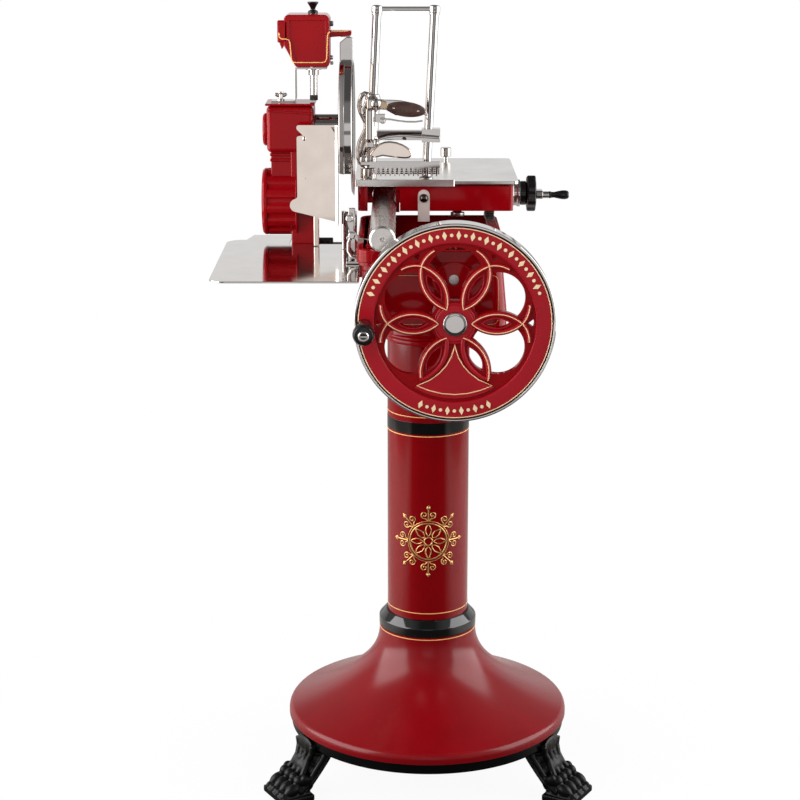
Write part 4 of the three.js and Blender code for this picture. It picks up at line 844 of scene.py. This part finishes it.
# Flywheel
def on_wheel(points, depth):
    """Pairs in the wheel's own plane, at a depth from the column's axis."""
    return [place(wheel_x + u, depth, wheel_z + v) for u, v in points]


def lens(inner, outer, half, grow=0.0, steps=18):
    """A pointed oval between two radii, grown outwards by a margin."""
    length = (outer - inner) / 2
    radius = (length ** 2 + half ** 2) / (2 * half)
    offset = radius - half
    wide = radius + grow
    lean = math.degrees(math.asin(offset / wide))
    middle = (inner + outer) / 2
    upper = arc(middle, -offset, wide, lean, 180 - lean, steps)
    lower = arc(middle, offset, wide, 180 + lean, 360 - lean, steps)
    return upper[:-1] + lower[:-1]


def wheel_casting():
    front, back = -249, -236
    web = turned("web", wheel_middle, Y, rod_profile(139, front, back), 128, 0)
    for angle in (-30, 30, 90, 150, 210):
        hole = turned("window", wheel_middle, Y, rod_profile(45.5, front - 3, back + 3), 64, 0)
        turn = math.radians(angle)
        hole.location = Vector((85 * mm * math.cos(turn), 0, 85 * mm * math.sin(turn)))
        carve(web, settle(hole))
    for angle in range(0, 360, 60):
        leaf = on_wheel(spun(lens(28, 114, 16.4, 4.6), angle), front - 0.4)
        web = carve(web, outlined("leaf", leaf, Y * 13, 0), "UNION")
    for angle in range(0, 360, 60):
        hole = on_wheel(spun(lens(48, 94, 8, 0, 10), angle), front - 3)
        carve(web, outlined("almond", hole, Y * 17, 0))
    for angle in (0, 60, 120, 180):
        hole = on_wheel(spun([(124, 0), (133, -7), (134.5, 0), (133, 7)], angle), front - 3)
        carve(web, outlined("pocket", hole, Y * 17, 0))
    ease(web, 1.3, 3, 40)
    ring = [(137, -241), (137, -252.6), (138.4, -254.4), (141, -255), (165.6, -255), (166.6, -253.8),
        (166.6, -242), (138, -241)]
    dress(web, recess_red_painted_shade, "flywheel")
    hub = [(0, -253.5), (30.5, -253.5), (33, -251.5), (33, -240), (0, -240)]
    parts = [
        turned("face_ring", wheel_middle, Y, ring, 160, 0.3),
        turned("hub", wheel_middle, Y, hub, 96, 1),
        turned("hub_back", wheel_middle, Y, tube_profile(12.4, 27, -245, -193), 64, 1),
    ]
    sides = [(3.5, -44), (9, -60), (19, -76), (33, -91), (50, -103), (68, -112)]
    bottom = [(u, -math.sqrt(131.5 ** 2 - u * u)) for u in (52, 36, 18, 0, -18, -36, -52)]
    outline = [(0, -34), *sides, *bottom, *[(-u, v) for u, v in reversed(sides)]]
    parts.append(outlined("fan", on_wheel(outline, -252.6), Y * 8, 1.1, 3))
    for angle in range(0, 360, 60):
        petal = on_wheel(spun(lens(29, 113, 15.8, 0), angle), -250.6)
        almond = on_wheel(spun(lens(46, 96, 9.4, 0, 10), angle), -249.6)
        parts += [strand("petal_ridge", petal, 4.0, True, 4), strand("almond_ridge", almond, 1.5, True, 3)]
    parts.append(strand("hub_step", on_wheel(arc(0, 0, 34, 0, 352.5, 47), -250.8), 2, True, 3))
    for angle in (0, 60, 120, 180):
        for side in (1, -1):
            tail = [(u, side * v) for u, v in arc(79.1, 31.2, 47, -42, 2, 8)]
            parts.append(strand("tail_ridge", on_wheel(spun(tail, angle), -250.6), 3.6, False, 4))
    dress(joined("flywheel_painted", parts), satin_red, "flywheel", "flywheel_casting")


def wheel_lines():
    """The gold lines of the rosette, the two rings at the edge, and the cream motifs on the ring."""
    lines = []
    petal = lens(28, 114, 16.4, 0)
    for angle in (0, 60, 120, 180):
        lines.append(strand("petal_line", on_wheel(spun(petal, angle), -254.4), 0.95, True, 1))
        for side in (1, -1):
            tail = [(u, side * v) for u, v in arc(79.1, 31.2, 47, -41.5, 1, 10)]
            lines.append(strand("tail_line", on_wheel(spun(tail, angle), -254.0), 0.95, False, 1))
    count = len(petal) // 2
    for angle, half in ((240, petal[count:]), (300, petal[:count + 1])):
        lines.append(strand("petal_line", on_wheel(spun(half, angle), -254.4), 0.95, False, 1))
    fan = [(0, -36.5), (1.6, -44), (6, -58), (14, -72.5), (26, -86), (41, -97.5), (64, -108)]
    low_edge = [(u, -123.5 + 15.5 * (u / 64) ** 2) for u in (44, 22, 0, -22, -44)]
    outline = [*fan, *low_edge, *[(-u, v) for u, v in reversed(fan[1:])]]
    lines.append(strand("fan_line", on_wheel(outline, -252.9), 0.95, True, 1))
    dress(joined("rosette_lines", lines), pale_line, "flywheel")
    cream = strand("edge_line_cream", on_wheel(arc(0, 0, 163.8, 0, 357.5, 143), -254.9), 0.8, True, 1)
    dress(cream, cream_line, "flywheel")
    dark = strand("edge_line_black", on_wheel(arc(0, 0, 166, 0, 357.5, 143), -254.6), 0.9, True, 1)
    dress(dark, black_enamel, "flywheel")
    motifs = []
    angles = [160 - 4.5 * i for i in range(32)] + [247.5 + 4.5 * i for i in range(11)]
    for number, angle in enumerate(angles):
        if number % 2:
            shape = arc(151.8, 0, 3, 0, 337.5, 15)
        else:
            shape = [(159.6, 0), (151.8, 4.1), (144, 0), (151.8, -4.1)]
        motifs.append(outlined("motif", on_wheel(spun(shape, angle), -256), Y * 1.5, 0.5, 2))
    dress(joined("cream_motifs", motifs), cream_line, "flywheel")


def wheel_trim():
    rim = [(166.9, -254.6), (167.6, -255.6), (170.6, -255.6), (171.6, -254.6), (171.6, -218), (170.6, -217),
        (162.5, -217), (162.5, -241.7), (166.9, -241.7)]
    dress(turned("polished_rim", wheel_middle, Y, rim, 192, 0.4), chrome, "flywheel", "flywheel_rim")
    cap = [(0, -260.4), (14, -260.3), (18, -260), (20, -258.9), (20.8, -257), (20.8, -253.8), (0, -253.8)]
    dress(turned("hub_cap", wheel_middle, Y, cap, 96, 0.3), chrome, "flywheel", "flywheel_hub_cap")
    throw, turn = 153.5, math.radians(181)
    at_knob = place(wheel_x + throw * math.cos(turn), 0, wheel_z + throw * math.sin(turn))
    spindle = turned("spindle", at_knob, Y, [(0, -342.6), (7.4, -342.6), (9, -341), (9, -337.6),
        (6, -337.6), (6, -241.7), (7, -241.7), (7, -236.7), (0, -236.7)], 64, 0.3)
    slot = block("slot", -125, -100, -345, -341, 915.3, 917.3, 0)
    carve(spindle, slot)
    dress(ease(spindle, 0, 2, 40), chrome, "flywheel", "crank_spindle")
    knob = [(6.6, -255.3), (12, -255.3), (12.6, -258), (12.2, -262), (12.6, -274), (14, -290), (16.6, -306),
        (18.3, -318), (18.5, -326), (17.8, -332), (15.4, -336.4), (13, -337.3), (6.6, -337.3)]
    dress(turned("hand_knob", at_knob, Y, knob, 96, 0.3), black_plastic, "crank_handle", "crank_knob")
    for node in ("wheel_shaft", "lay_shaft", "cross_shaft"):
        refined(node, ground, 0.4)


# Carriage
def carriage():
    housing = refined("carriage_housing", red_enamel, 0)
    carve(housing, block("opening", -112, -60, 110, 200, 1040, 1100, 0))
    ease(housing, 1.4, 3)
    wall = block("carriage_wall", -128, -50, 294, 300, 1040, 1099, 0)
    carve(wall, turned("bore", bar_middle, Y, rod_profile(23.4, 280, 320), 96, 0))
    dress(ease(wall, 0.5, 2), red_enamel, "carriage")
    refined("guide_roller", ground, 0.6)
    strap = [(-19, 1033), (3, 1033), (3, 1081.5), *arc(-8, 1081.5, 11, 0, 180, 16)[1:-1], (-19, 1081.5)]
    dress(outlined("strap_plate", facing(strap, 111.7), Y * 6, 1), nickel, "carriage", "front_strap")
    bolt = turned("bolt_head", place(-8, 0, 1077), Y, [(0, 103.4), (4, 103.8), (6.6, 105.6), (8, 108.4),
        (8.2, 111.4), (0, 111.4)], 48, 0)
    dress(bolt, black_chrome, "carriage", "strap_bolt")
    refined("drive_link", ground, 0.8)


def table_pieces():
    refined("table_plate", brushed, 0.7, 3)
    refined("feed_nut", bronze, 0.6)
    knob = [(0, 1109), (5, 1109), (5, 1114.6), (9.4, 1115.4), (10.4, 1117), (10.4, 1131.4), (9.2, 1133),
        (0, 1133.4)]
    dress(turned("stop_knob", place(39, 408, 0), Z, knob, 48, 0.3), chrome, "table", "table_knob")


def feed_wheel():
    screw_y, screw_z = 270, 1063
    middle = place(0, screw_y, screw_z)
    flange = [(7.6, 158.3), (27.5, 158.3), (27.5, 164), (24, 166), (24, 172), (26, 174), (26, 178.3),
        (7.6, 178.3)]
    dress(turned("feed_collar", middle, X, flange, 64, 0.6), chrome, "carriage", "feed_flange")
    refined("feed_screw", ground, 0.3)
    dial = turned("dial", middle, X, [(7.3, 178.6), (22, 178.6), (23, 180), (23, 189), (20, 191.6),
        (7.3, 191.6)], 64, 0.4)
    lobes = []
    for step in range(112):
        angle = math.tau * step / 112
        radius = 35 - 3.4 * (1 - math.cos(7 * angle)) / 2
        across, up = radius * math.cos(angle), radius * math.sin(angle)
        lobes.append(place(191.6, screw_y + across, screw_z + up))
    wheel = outlined("lobed_wheel", lobes, X * 17, 3, 4, 50)
    rib = turned("wheel_face", middle, X, [(0, 208), (20, 208), (22, 209.2), (26, 209.2), (27, 207),
        (0, 207)], 64, 0)
    dress(joined("feed_wheel", [dial, wheel, rib]), black_plastic, "feed", "feed_handwheel")
    refined("feed_crank", chrome, 1.2, 3)
    handle = [(4.6, 233.2), (6.5, 233.2), (6.9, 235), (5.7, 238), (5.4, 242.7), (7, 250), (8.5, 258),
        (8.7, 264), (7.6, 269), (5, 271.2), (0, 271.2), (0, 263.5), (4.6, 263.5)]
    dress(turned("grip", place(0, 246, screw_z), X, handle, 48, 0.2), black_plastic, "feed_grip",
        "feed_handle")


# Meat clamp
lean_angle = math.radians(2.7)
lean = math.tan(lean_angle)
table_top = 1108.7
post_y = 145
grip_x, grip_z = -41.2, 131


def by_post(side, x, y, z):
    """A place measured from a clamp post at the table, following its lean."""
    return place(-56 + side * 52.5 + x + z * lean, post_y + y, table_top + z)


def over_table(pairs, y):
    """Pairs of x and height over the table, upright at one depth."""
    return [place(x, y, table_top + z) for x, z in pairs]


def leaning_axis():
    return Vector((math.sin(lean_angle), 0, math.cos(lean_angle)))


def clamp_frame():
    along = leaning_axis()
    for name, side in (("left", -1), ("right", 1)):
        post = [(0, 0.6), (7.2, 0.6), (8, 2), (8, 303.4), (0, 303.4)]
        rod = turned("rod", by_post(side, 0, 0, 0), along, post, 64, 0.4)
        foot = turned("foot", by_post(side, 0, 0, 0), Z, [(0, 0.3), (13, 0.3), (13, 2.6), (11.6, 4),
            (9.6, 4.6), (8.2, 8), (0, 8)], 64, 0.4)
        dress(joined("clamp_rod_" + name, [rod, foot]), post_chrome_painted_shade, "table", "clamp_post_" + name)
    left, right = by_post(-1, 0, 0, 304).x, by_post(1, 0, 0, 304).x
    beam = [(left, 307), (right, 307), (right, 314.6), (left, 314.6)]
    points = [Vector((x, axis_y + (post_y - 5) * mm, (table_top + z) * mm)) for x, z in beam]
    beam = outlined("beam", points, Y * 10, 2.2, 4)
    knuckle = [(0, 304), (9.4, 304), (10, 305), (10, 314), (8.4, 316.6), (5, 317.6), (0, 318)]
    nuts = [turned("knuckle", by_post(side, 0, 0, 0), along, knuckle, 48, 0.4) for side in (-1, 1)]
    nuts += [turned("collar", by_post(side, 0, 0, 0), along, rod_profile(9.2, 299.6, 303.6), 48, 0.6)
        for side in (-1, 1)]
    dress(joined("clamp_beam", [beam, *nuts]), chrome, "table", "clamp_top_bar")


def clamp_casting():
    """The sliding casting: sleeve, waist, loop and arms, melted into one shape."""
    along = leaning_axis()
    base = by_post(-1, 0, 0, 0)
    sleeve = [(0, 20), (14, 20), (14, 26), (12, 30), (12, 56), (13.4, 60), (13.4, 76), (12.4, 84),
        (11.8, 104), (12.4, 124), (13.6, 132), (13.6, 150), (11, 157), (0, 158)]
    high_ring = [(0, 130), (14.8, 130), (15.6, 132.6), (14.8, 135.4), (0, 135.4)]
    hook = [(-110, 156), (-117, 158), (-122, 155), (-125.4, 147), (-127, 135), (-124.6, 124), (-119.6, 114),
        (-115, 104), (-115, 94), (-120, 82), (-126, 70), (-129, 56), (-129, 40), (-126, 28)]
    hook_inner = [(-113, 157), (-112, 148), (-115, 138), (-120, 130), (-119, 120)]

    def upright(pairs, y):
        return [by_post(-1, x + 108.5 - lean * z, y, z) for x, z in pairs]

    lumps = [
        turned("sleeve", base, along, sleeve, 64, 1),
        turned("ring_low", base, along, [(0, 26), (17, 26), (18, 28), (17, 31), (0, 31)], 64, 0.6),
        turned("ring_high", base, along, high_ring, 64, 0.6),
        strand("hook", upright(hook, -7), 4.4, False, 4),
        strand("hook_inner", upright(hook_inner, -9), 3.8, False, 4),
        ball("hook_web", by_post(-1, -12, -6, 62), (11, 8, 30), (0, 16, 0)),
        block("column", -116, -99, 119, 135, table_top + 70, table_top + 134, 6, 4),
        ball("skirt", by_post(-1, -13, -4, 36), (9, 10, 15), (0, 6, 0)),
        ball("cheek", by_post(-1, 8, -10, 64), (8, 9, 11)),
        block("face", -114, -98, 125, 137, table_top + 58, table_top + 77, 3, 4),
        block("grip_root", -113, -92, 112, 140, table_top + 130, table_top + 152, 4, 4),
        ball("root_end", place(-96, 116, table_top + 141), (10, 8, 11)),
    ]
    piece = joined("clamp_cast", lumps)
    apply(piece, "REMESH", mode="VOXEL", voxel_size=0.7 * mm)
    apply(piece, "SMOOTH", factor=0.5, iterations=2)
    pick(piece)
    bpy.ops.object.shade_smooth()
    # The grip's flat spine, seen as a bright line round the scales
    spine = [(-94, 150), (-80, 148.6), (-66, 148.4), (-50, 147.2), (-34, 144), (-18, 138.6), (-7, 131.6),
        (-1.5, 123), (-1.2, 119.6), (-4, 119.6), (-12, 122), (-60, 120), (-78, 130), (-94, 131)]
    body = outlined("grip_spine", over_table(spine, 117.6), Y * 4.8, 1.3, 3)
    pin = turned("hinge_pin", place(-83.7, 0, table_top + 110), Y,
        [(0, 114.6), (3.2, 114.6), (3.8, 115.4), (3.8, 126.2), (0, 126.2)], 24, 0.3)
    spoon_pin = turned("spoon_pin", place(-98.86, 0, table_top + 56), Y,
        [(0, 124.4), (4.4, 124.4), (5, 125.4), (5, 131), (0, 131)], 24, 0.3)
    cheek = block("hinge_cheek", -98, -79, 125, 128, table_top + 106, table_top + 122, 1.2)
    base_ring = turned("low_cylinder", place(-110.5, post_y, 0), Z,
        rod_profile(15, table_top + 1.2, table_top + 20), 64, 1)
    low_plate = [(-125, 27.4), (-88, 27.4), (-88, 32), (-94, 34.4), (-125, 34.4)]
    plate = outlined("low_plate", over_table(low_plate, 123), Y * 12, 1)
    strip = [(-94, 76), (-84, 80), (-72, 83), (-56, 84.6), (-36, 84.6), (-12, 83), (21, 80), (21, 76.4),
        (-12, 78.4), (-36, 80), (-56, 80.4), (-72, 79), (-84, 76), (-94, 72)]
    lever = outlined("press_strip", over_table(strip, 119.5), Y * 6, 1.4, 3)
    dress(joined("clamp_cast", [piece, body, pin, spoon_pin, cheek, base_ring, plate, lever]), chrome,
        "clamp", "clamp_casting")
    # The brass toned neck in front of the scales
    neck = [(-91, 148), (-84, 147.4), (-76, 144.6), (-74, 140), (-74, 132.6), (-91, 131.4)]
    dress(outlined("grip_neck", over_table(neck, 115.4), Y * 9.2, 1.8, 3), brass, "clamp")


def grip_scales():
    for name, y, side in (("front", 117.2, -1), ("back", 122.8, 1)):
        scale = ball("scale", place(grip_x, y, table_top + grip_z), (36.6, 6, 13.6), (0, 6.7, 0), 64)
        keep = block("keep", -120, 60, y - (7 if side < 0 else 0), y + (0 if side < 0 else 7),
            table_top + 90, table_top + 160, 0)
        carve(scale, keep, "INTERSECT")
        settle(scale, "horn_scale_" + name)
        ease(scale, 0.3, 2, 50)
        dress(scale, brown_scale, "clamp", "grip_scale_" + name)
        for number, across in enumerate((-22.2, 22.2)):
            spot = place(grip_x + across, y + side * 4.8, table_top + grip_z - across * 0.117)
            rivet = ball(f"rivet_{name}_{number}", spot, (1.9, 1.1, 1.9), segments=16)
            dress(rivet, chrome, "clamp")


def clamp_levers():
    lever = [(-88, 113.4), (-80, 114.8), (-70, 114.2), (-56, 111.6), (-40, 109.8), (-24, 109.6),
        (-10, 111.6), (-10, 109), (-24, 107), (-40, 107.2), (-56, 109), (-70, 111.4), (-80, 111.6),
        (-88, 107.4)]
    blade_part = outlined("lever_strip", over_table(lever, 115.7), Y * 8.6, 0.9, 3)
    eye = turned("lever_eye", place(-83.7, 0, table_top + 110), Y, tube_profile(3.1, 5.4, 115.5, 124.5), 32,
        0.4)
    dress(joined("squeeze_lever_bent", [blade_part, eye]), chrome, "squeeze", "squeeze_lever")
    # A leaf shaped lever with a round end, domed along its front
    leaf = [(-109, 47), (-104.6, 53), (-98, 61), (-89.7, 67.6), (-80, 71.2), (-70, 72), (-58, 70.2),
        (-47, 66.2), (-38.6, 61.4), (-32, 55.4), (-29.4, 49.6), (-30.6, 44), (-35, 40.6), (-42, 39.8),
        (-58, 41), (-72, 42.8), (-84, 44.6), (-94, 42), (-102, 41.4)]
    spoon = outlined("spoon_leaf", over_table(leaf, 121.7), Y * 8, 3.4, 6, 40)
    eye = turned("spoon_eye", place(-98.9, 0, table_top + 56), Y, tube_profile(4, 7, 125.7, 130.7), 32, 0.8)
    screw = ball("strip_screw", place(-44, 118.6, table_top + 77.6), (4.6, 2, 2.6), (0, 10, 0), 20)
    dress(joined("spoon_polished", [spoon, eye]), mirror, "spoon", "spoon_lever")
    dress(screw, black_chrome, "clamp")
    ribs = [strand("rib", over_table(((-98, z), (21, z)), 138.8), 1.5) for z in (10.6, 14.4, 18.2, 22)]
    dress(joined("comb_ribs", ribs), black_chrome, "clamp")
    uprights = [strand("upright", over_table(((x, 8), (x, 25)), 137.2), 0.9)
        for x in (-92, -80, -68, -56, -44, -32, -20)]
    dress(joined("comb_uprights", uprights), chrome, "clamp")
    dark = [(-97, 76), (-97, 88.4), (-12, 88.4), (-6, 84), (-60, 82), (-80, 79)]
    dress(outlined("press_bar_shade", over_table(dark, 138.2), Y * 2, 0.4), black_chrome, "clamp")
    refined("press_bar", chrome, 1.6, 3)
    refined("toothed_plate", chrome, 0.5, 2)


# Where the slices fall
def deflector():
    """The upright plate beside the blade, with a notch, a rounded nose, a bent edge and one leg."""
    face = [*arc(-236.9, 1211, 3.5, 180, 90, 4), (-170.6, 1214.5), (-170.6, 1037.4),
        *arc(-242.3, 1067.5, 12, 256, 103, 14), *arc(-246.4, 1085, 6, -77, 0, 5), (-240.4, 1191.5),
        (-239.4, 1193.6), (-236.5, 1194.6), (-229, 1195.8), (-238.8, 1205.4), (-240.4, 1207.8)]
    plate = outlined("deflector_face", facing(face, 86), Y * 2.5, 0)
    funnel = [(-178, 1211), (-160, 1211), (-168, 1203.5), (-170.2, 1200), (-170.2, 1188), (-171.4, 1188),
        (-171.4, 1200), (-173, 1203.5)]
    carve(plate, outlined("funnel", facing(funnel, 80), Y * 20, 0))
    ease(plate, 0, 2, 20)
    bent = [(-170.4, 86), (-165.6, 82), (-165.6, 46), (-164.5, 46), (-164.5, 84.5), (-170.4, 88.5)]
    edge = outlined("deflector_edge", lying(bent, 1036), Z * 178.5, 0.3, 2, 20)
    leg = block("deflector_leg", -211, -201, 87.3, 92.5, 991.3, 1068, 1.5)
    dress(joined("deflector_polished", [plate, edge, leg]), mirror, "frame", "deflector_plate")


def slice_parts():
    plan = [(-121, -250), (-121, 112), (-257, 112), (-257, 214), (-330, 214),
        *arc(-346, 130, 30, 80, 180, 8), *arc(-348, -222, 28, 180, 270, 10)]
    dress(outlined("tray_polished", lying(plan, 988), Z * 3, 0.9, 3), tray_steel, "frame", "slice_tray")
    pins = [ball("low_pin", place(-226, 85.6, 1118), (1.5, 0.8, 1.5), segments=16),
        ball("high_pin", place(-226.4, 85.6, 1190), (3.2, 2, 4), segments=20)]
    dress(joined("deflector_pins", pins), chrome, "frame")


def linkage():
    """Bright levers and a stop between the tray and the wheel."""
    plate = block("link_plate", -143, -131, -62, -56, 991.5, 1086, 1.2)
    bar = [(-148, 1072), (-140, 1076), (-133, 1062), (-133, 1048), (-124, 1036), (-101, 1030), (-104, 1024),
        (-128, 1028), (-141, 1044)]
    arm = outlined("link_arm", facing(bar, -74), Y * 7, 1.2)
    low = strand("link_low", path((-137, -70, 1040), (-143, -76, 1026), (-143, -80, 1012),
        (-136, -82, 1002), (-125, -84, 1000)), 3.2, False, 4)
    pivots = [turned("link_pivot", place(x, 0, z), Y, [(0, -82), (5, -82), (6.4, -80.4), (6.4, -56),
        (0, -56)], 40, 0.5) for x, z in ((-141, 1070), (-126, 1000), (-137, 1040))]
    foot = block("link_foot", -147, -123, -92, -52, 991.5, 996, 1)
    dress(joined("gauge_linkage", [plate, arm, low, *pivots, foot]), chrome, "frame")
    back = block("bracket_plate", -158, -131, 60, 64, 991.5, 1060, 1.2)
    dress(back, black_chrome, "frame")
    ribs = [strand("bracket_rib", facing(((x, 992), (x, 1062)), 58), 3.4) for x in (-155, -134)]
    ribs += [turned("bracket_bolt", place(-145, 0, z), Y, [(0, 55), (4.6, 55), (5.6, 56.2), (5.6, 60.5),
        (0, 60.5)], 32, 0.4) for z in (1012, 1046)]
    dress(joined("bracket_ribs", ribs), chrome, "frame")


# Sharpener
def sharpener():
    face = [(-242, 1316), (-184, 1316), (-180, 1322), (-180, 1400), *arc(-190, 1400, 10, 0, 90, 8)[1:],
        *arc(-253, 1400, 10, 90, 180, 8), (-264, 1356)]
    box = outlined("box", facing(face, 120), Y * 70, 3, 4)
    panel = [(-241, 1323), (-188, 1323), (-186, 1325), (-188, 1397), *arc(-190, 1397, 3, 0, 90, 6)[1:],
        *arc(-250, 1397, 3, 90, 180, 6), (-253, 1360)]
    carve(box, outlined("recess", facing(panel, 117), Y * 5, 0))
    ease(box, 0.9, 3, 40)
    ear = block("ear", -275, -255, 120, 134, 1360, 1400, 3, 4)
    claw = [(-272, 1362), (-262, 1362), (-264, 1352), (-267, 1348)]
    hook = outlined("hook", facing(claw, 121), Y * 10, 1)
    reach = [(-189, 1366), (-176, 1368.4), (-141, 1371), (-141, 1380), (-176, 1380), (-189, 1384)]
    arm = outlined("arm", facing(reach, 142), Y * 26, 2, 3)
    dress(joined("sharpener_painted", [box, ear, hook, arm]), red_enamel, "frame", "sharpener_box")
    pin_line = [(-272, 1378), (-271, 1370), (-268, 1367), (-259, 1366.6), (-254, 1365), (-252, 1360),
        (-249.6, 1330), (-247, 1325.6), (-242, 1324.4), (-193, 1324.4), (-188, 1326), (-185.4, 1331),
        (-183.6, 1372), (-182, 1377.6), (-179, 1379.2)]
    stroke = strand("line", facing(pin_line, 119.6), 1.1, False, 1)
    arm_run = [(-178, 1378.6), (-160, 1378.6), (-146, 1379.6)]
    arm_line = strand("line", facing(arm_run, 141.6), 0.9, False, 1)
    dress(joined("sharpener_line", [stroke, arm_line]), gold_line, "frame")
    bolts = []
    for x, z, size in ((-178.4, 1331, 4), (-178, 1321, 3.2)):
        bolts.append(turned("bolt", place(0, 150, z), X, [(0, x - 2), (size, x - 2), (size, x + 2.4),
            (size - 1, x + 3.6), (0, x + 3.6)], 32, 0.4))
    bolts.append(block("arm_clip", -161, -143, 147, 163, 1368.3, 1372, 1))
    dress(joined("sharpener_bolts", bolts), ground, "frame")
    button = turned("side_button", place(0, drive_y, 1392), X, [(0, -180), (5, -180), (5, -175.4),
        (3.8, -174), (0, -174)], 32, 0.5)
    dress(button, grey_plastic, "frame")


def sharpener_strap():
    """A strap of flat steel with round bends, a stepped collar, and a wing screw on its foot."""
    points = [(-289, 1252.6)]
    points += arc(-251.2, 1258.0, 5.4, -90, 0, 8)
    points += arc(-240.4, 1308.4, 5.4, 180, 90, 8)
    points.append((-186, 1313.8))
    outer = []
    for before, here, after in zip([points[0], *points], points, [*points[1:], points[-1]]):
        run, rise = after[0] - before[0], after[1] - before[1]
        length = math.hypot(run, rise)
        outer.append((here[0] + 3.2 * rise / length, here[1] - 3.2 * run / length))
    whole = facing([*points, *reversed(outer)], 140)
    strip = outlined("strip", whole, Y * 30, 0.5, 2, 20)
    stem = turned("stem", place(-272, drive_y, 0), Z, [(0, 1250.9), (7, 1250.9), (7, 1254.6), (3.4, 1255.6),
        (3.2, 1264), (5, 1266), (5, 1268), (0, 1268.4)], 32, 0.4)
    wings = [ball("wing", place(-272 + side * 6, drive_y, 1262), (6.4, 1.5, 3.6), (0, side * -24, 0), 20)
        for side in (-1, 1)]
    dress(joined("strap_polished", [strip, stem, *wings]), chrome, "frame", "sharpener_bracket")
    middle = place(-211, drive_y, 0)
    collar = [(7.4, 1298.9), (9.6, 1298.9), (9.6, 1308.9), (15, 1308.9), (15, 1311.9), (7.4, 1311.9)]
    dress(turned("stepped_collar", middle, Z, collar, 64, 0.5), chrome, "frame", "sharpener_collar")
    rod = [(0, 1262), (6.4, 1262), (6.8, 1263), (6.8, 1412), (0, 1412)]
    dress(turned("stone_rod", middle, Z, rod, 64, 0.2), brushed, "sharpener", "sharpener_rod")
    tip = [(0, 1252.7), (6.8, 1252.7), (7.4, 1253.6), (7.4, 1261.7), (0, 1261.7)]
    dress(turned("stone_tip", middle, Z, tip, 48, 0.3), stone, "sharpener", "sharpener_ferrule")
    knob = [(7.1, 1410.3), (9, 1410.3), (9.4, 1412), (9.2, 1414), (8, 1415.4), (4.8, 1416.6), (4.3, 1418.4),
        (5.2, 1421.4), (7.6, 1425.4), (10, 1429.2), (10.2, 1430.8), (9, 1431.4), (0, 1431.4)]
    dress(turned("waisted_knob", middle, Z, knob, 64, 0.2), black_plastic, "sharpener", "sharpener_knob")


for build in (paw_feet, pedestal, rosette, body_shell, body_trim, bar_and_rail, drive_case, blade_parts,
        wheel_casting, wheel_lines, wheel_trim, carriage, table_pieces, feed_wheel, clamp_frame,
        clamp_casting, grip_scales, clamp_levers, deflector, slice_parts, linkage, sharpener,
        sharpener_strap):
    build()
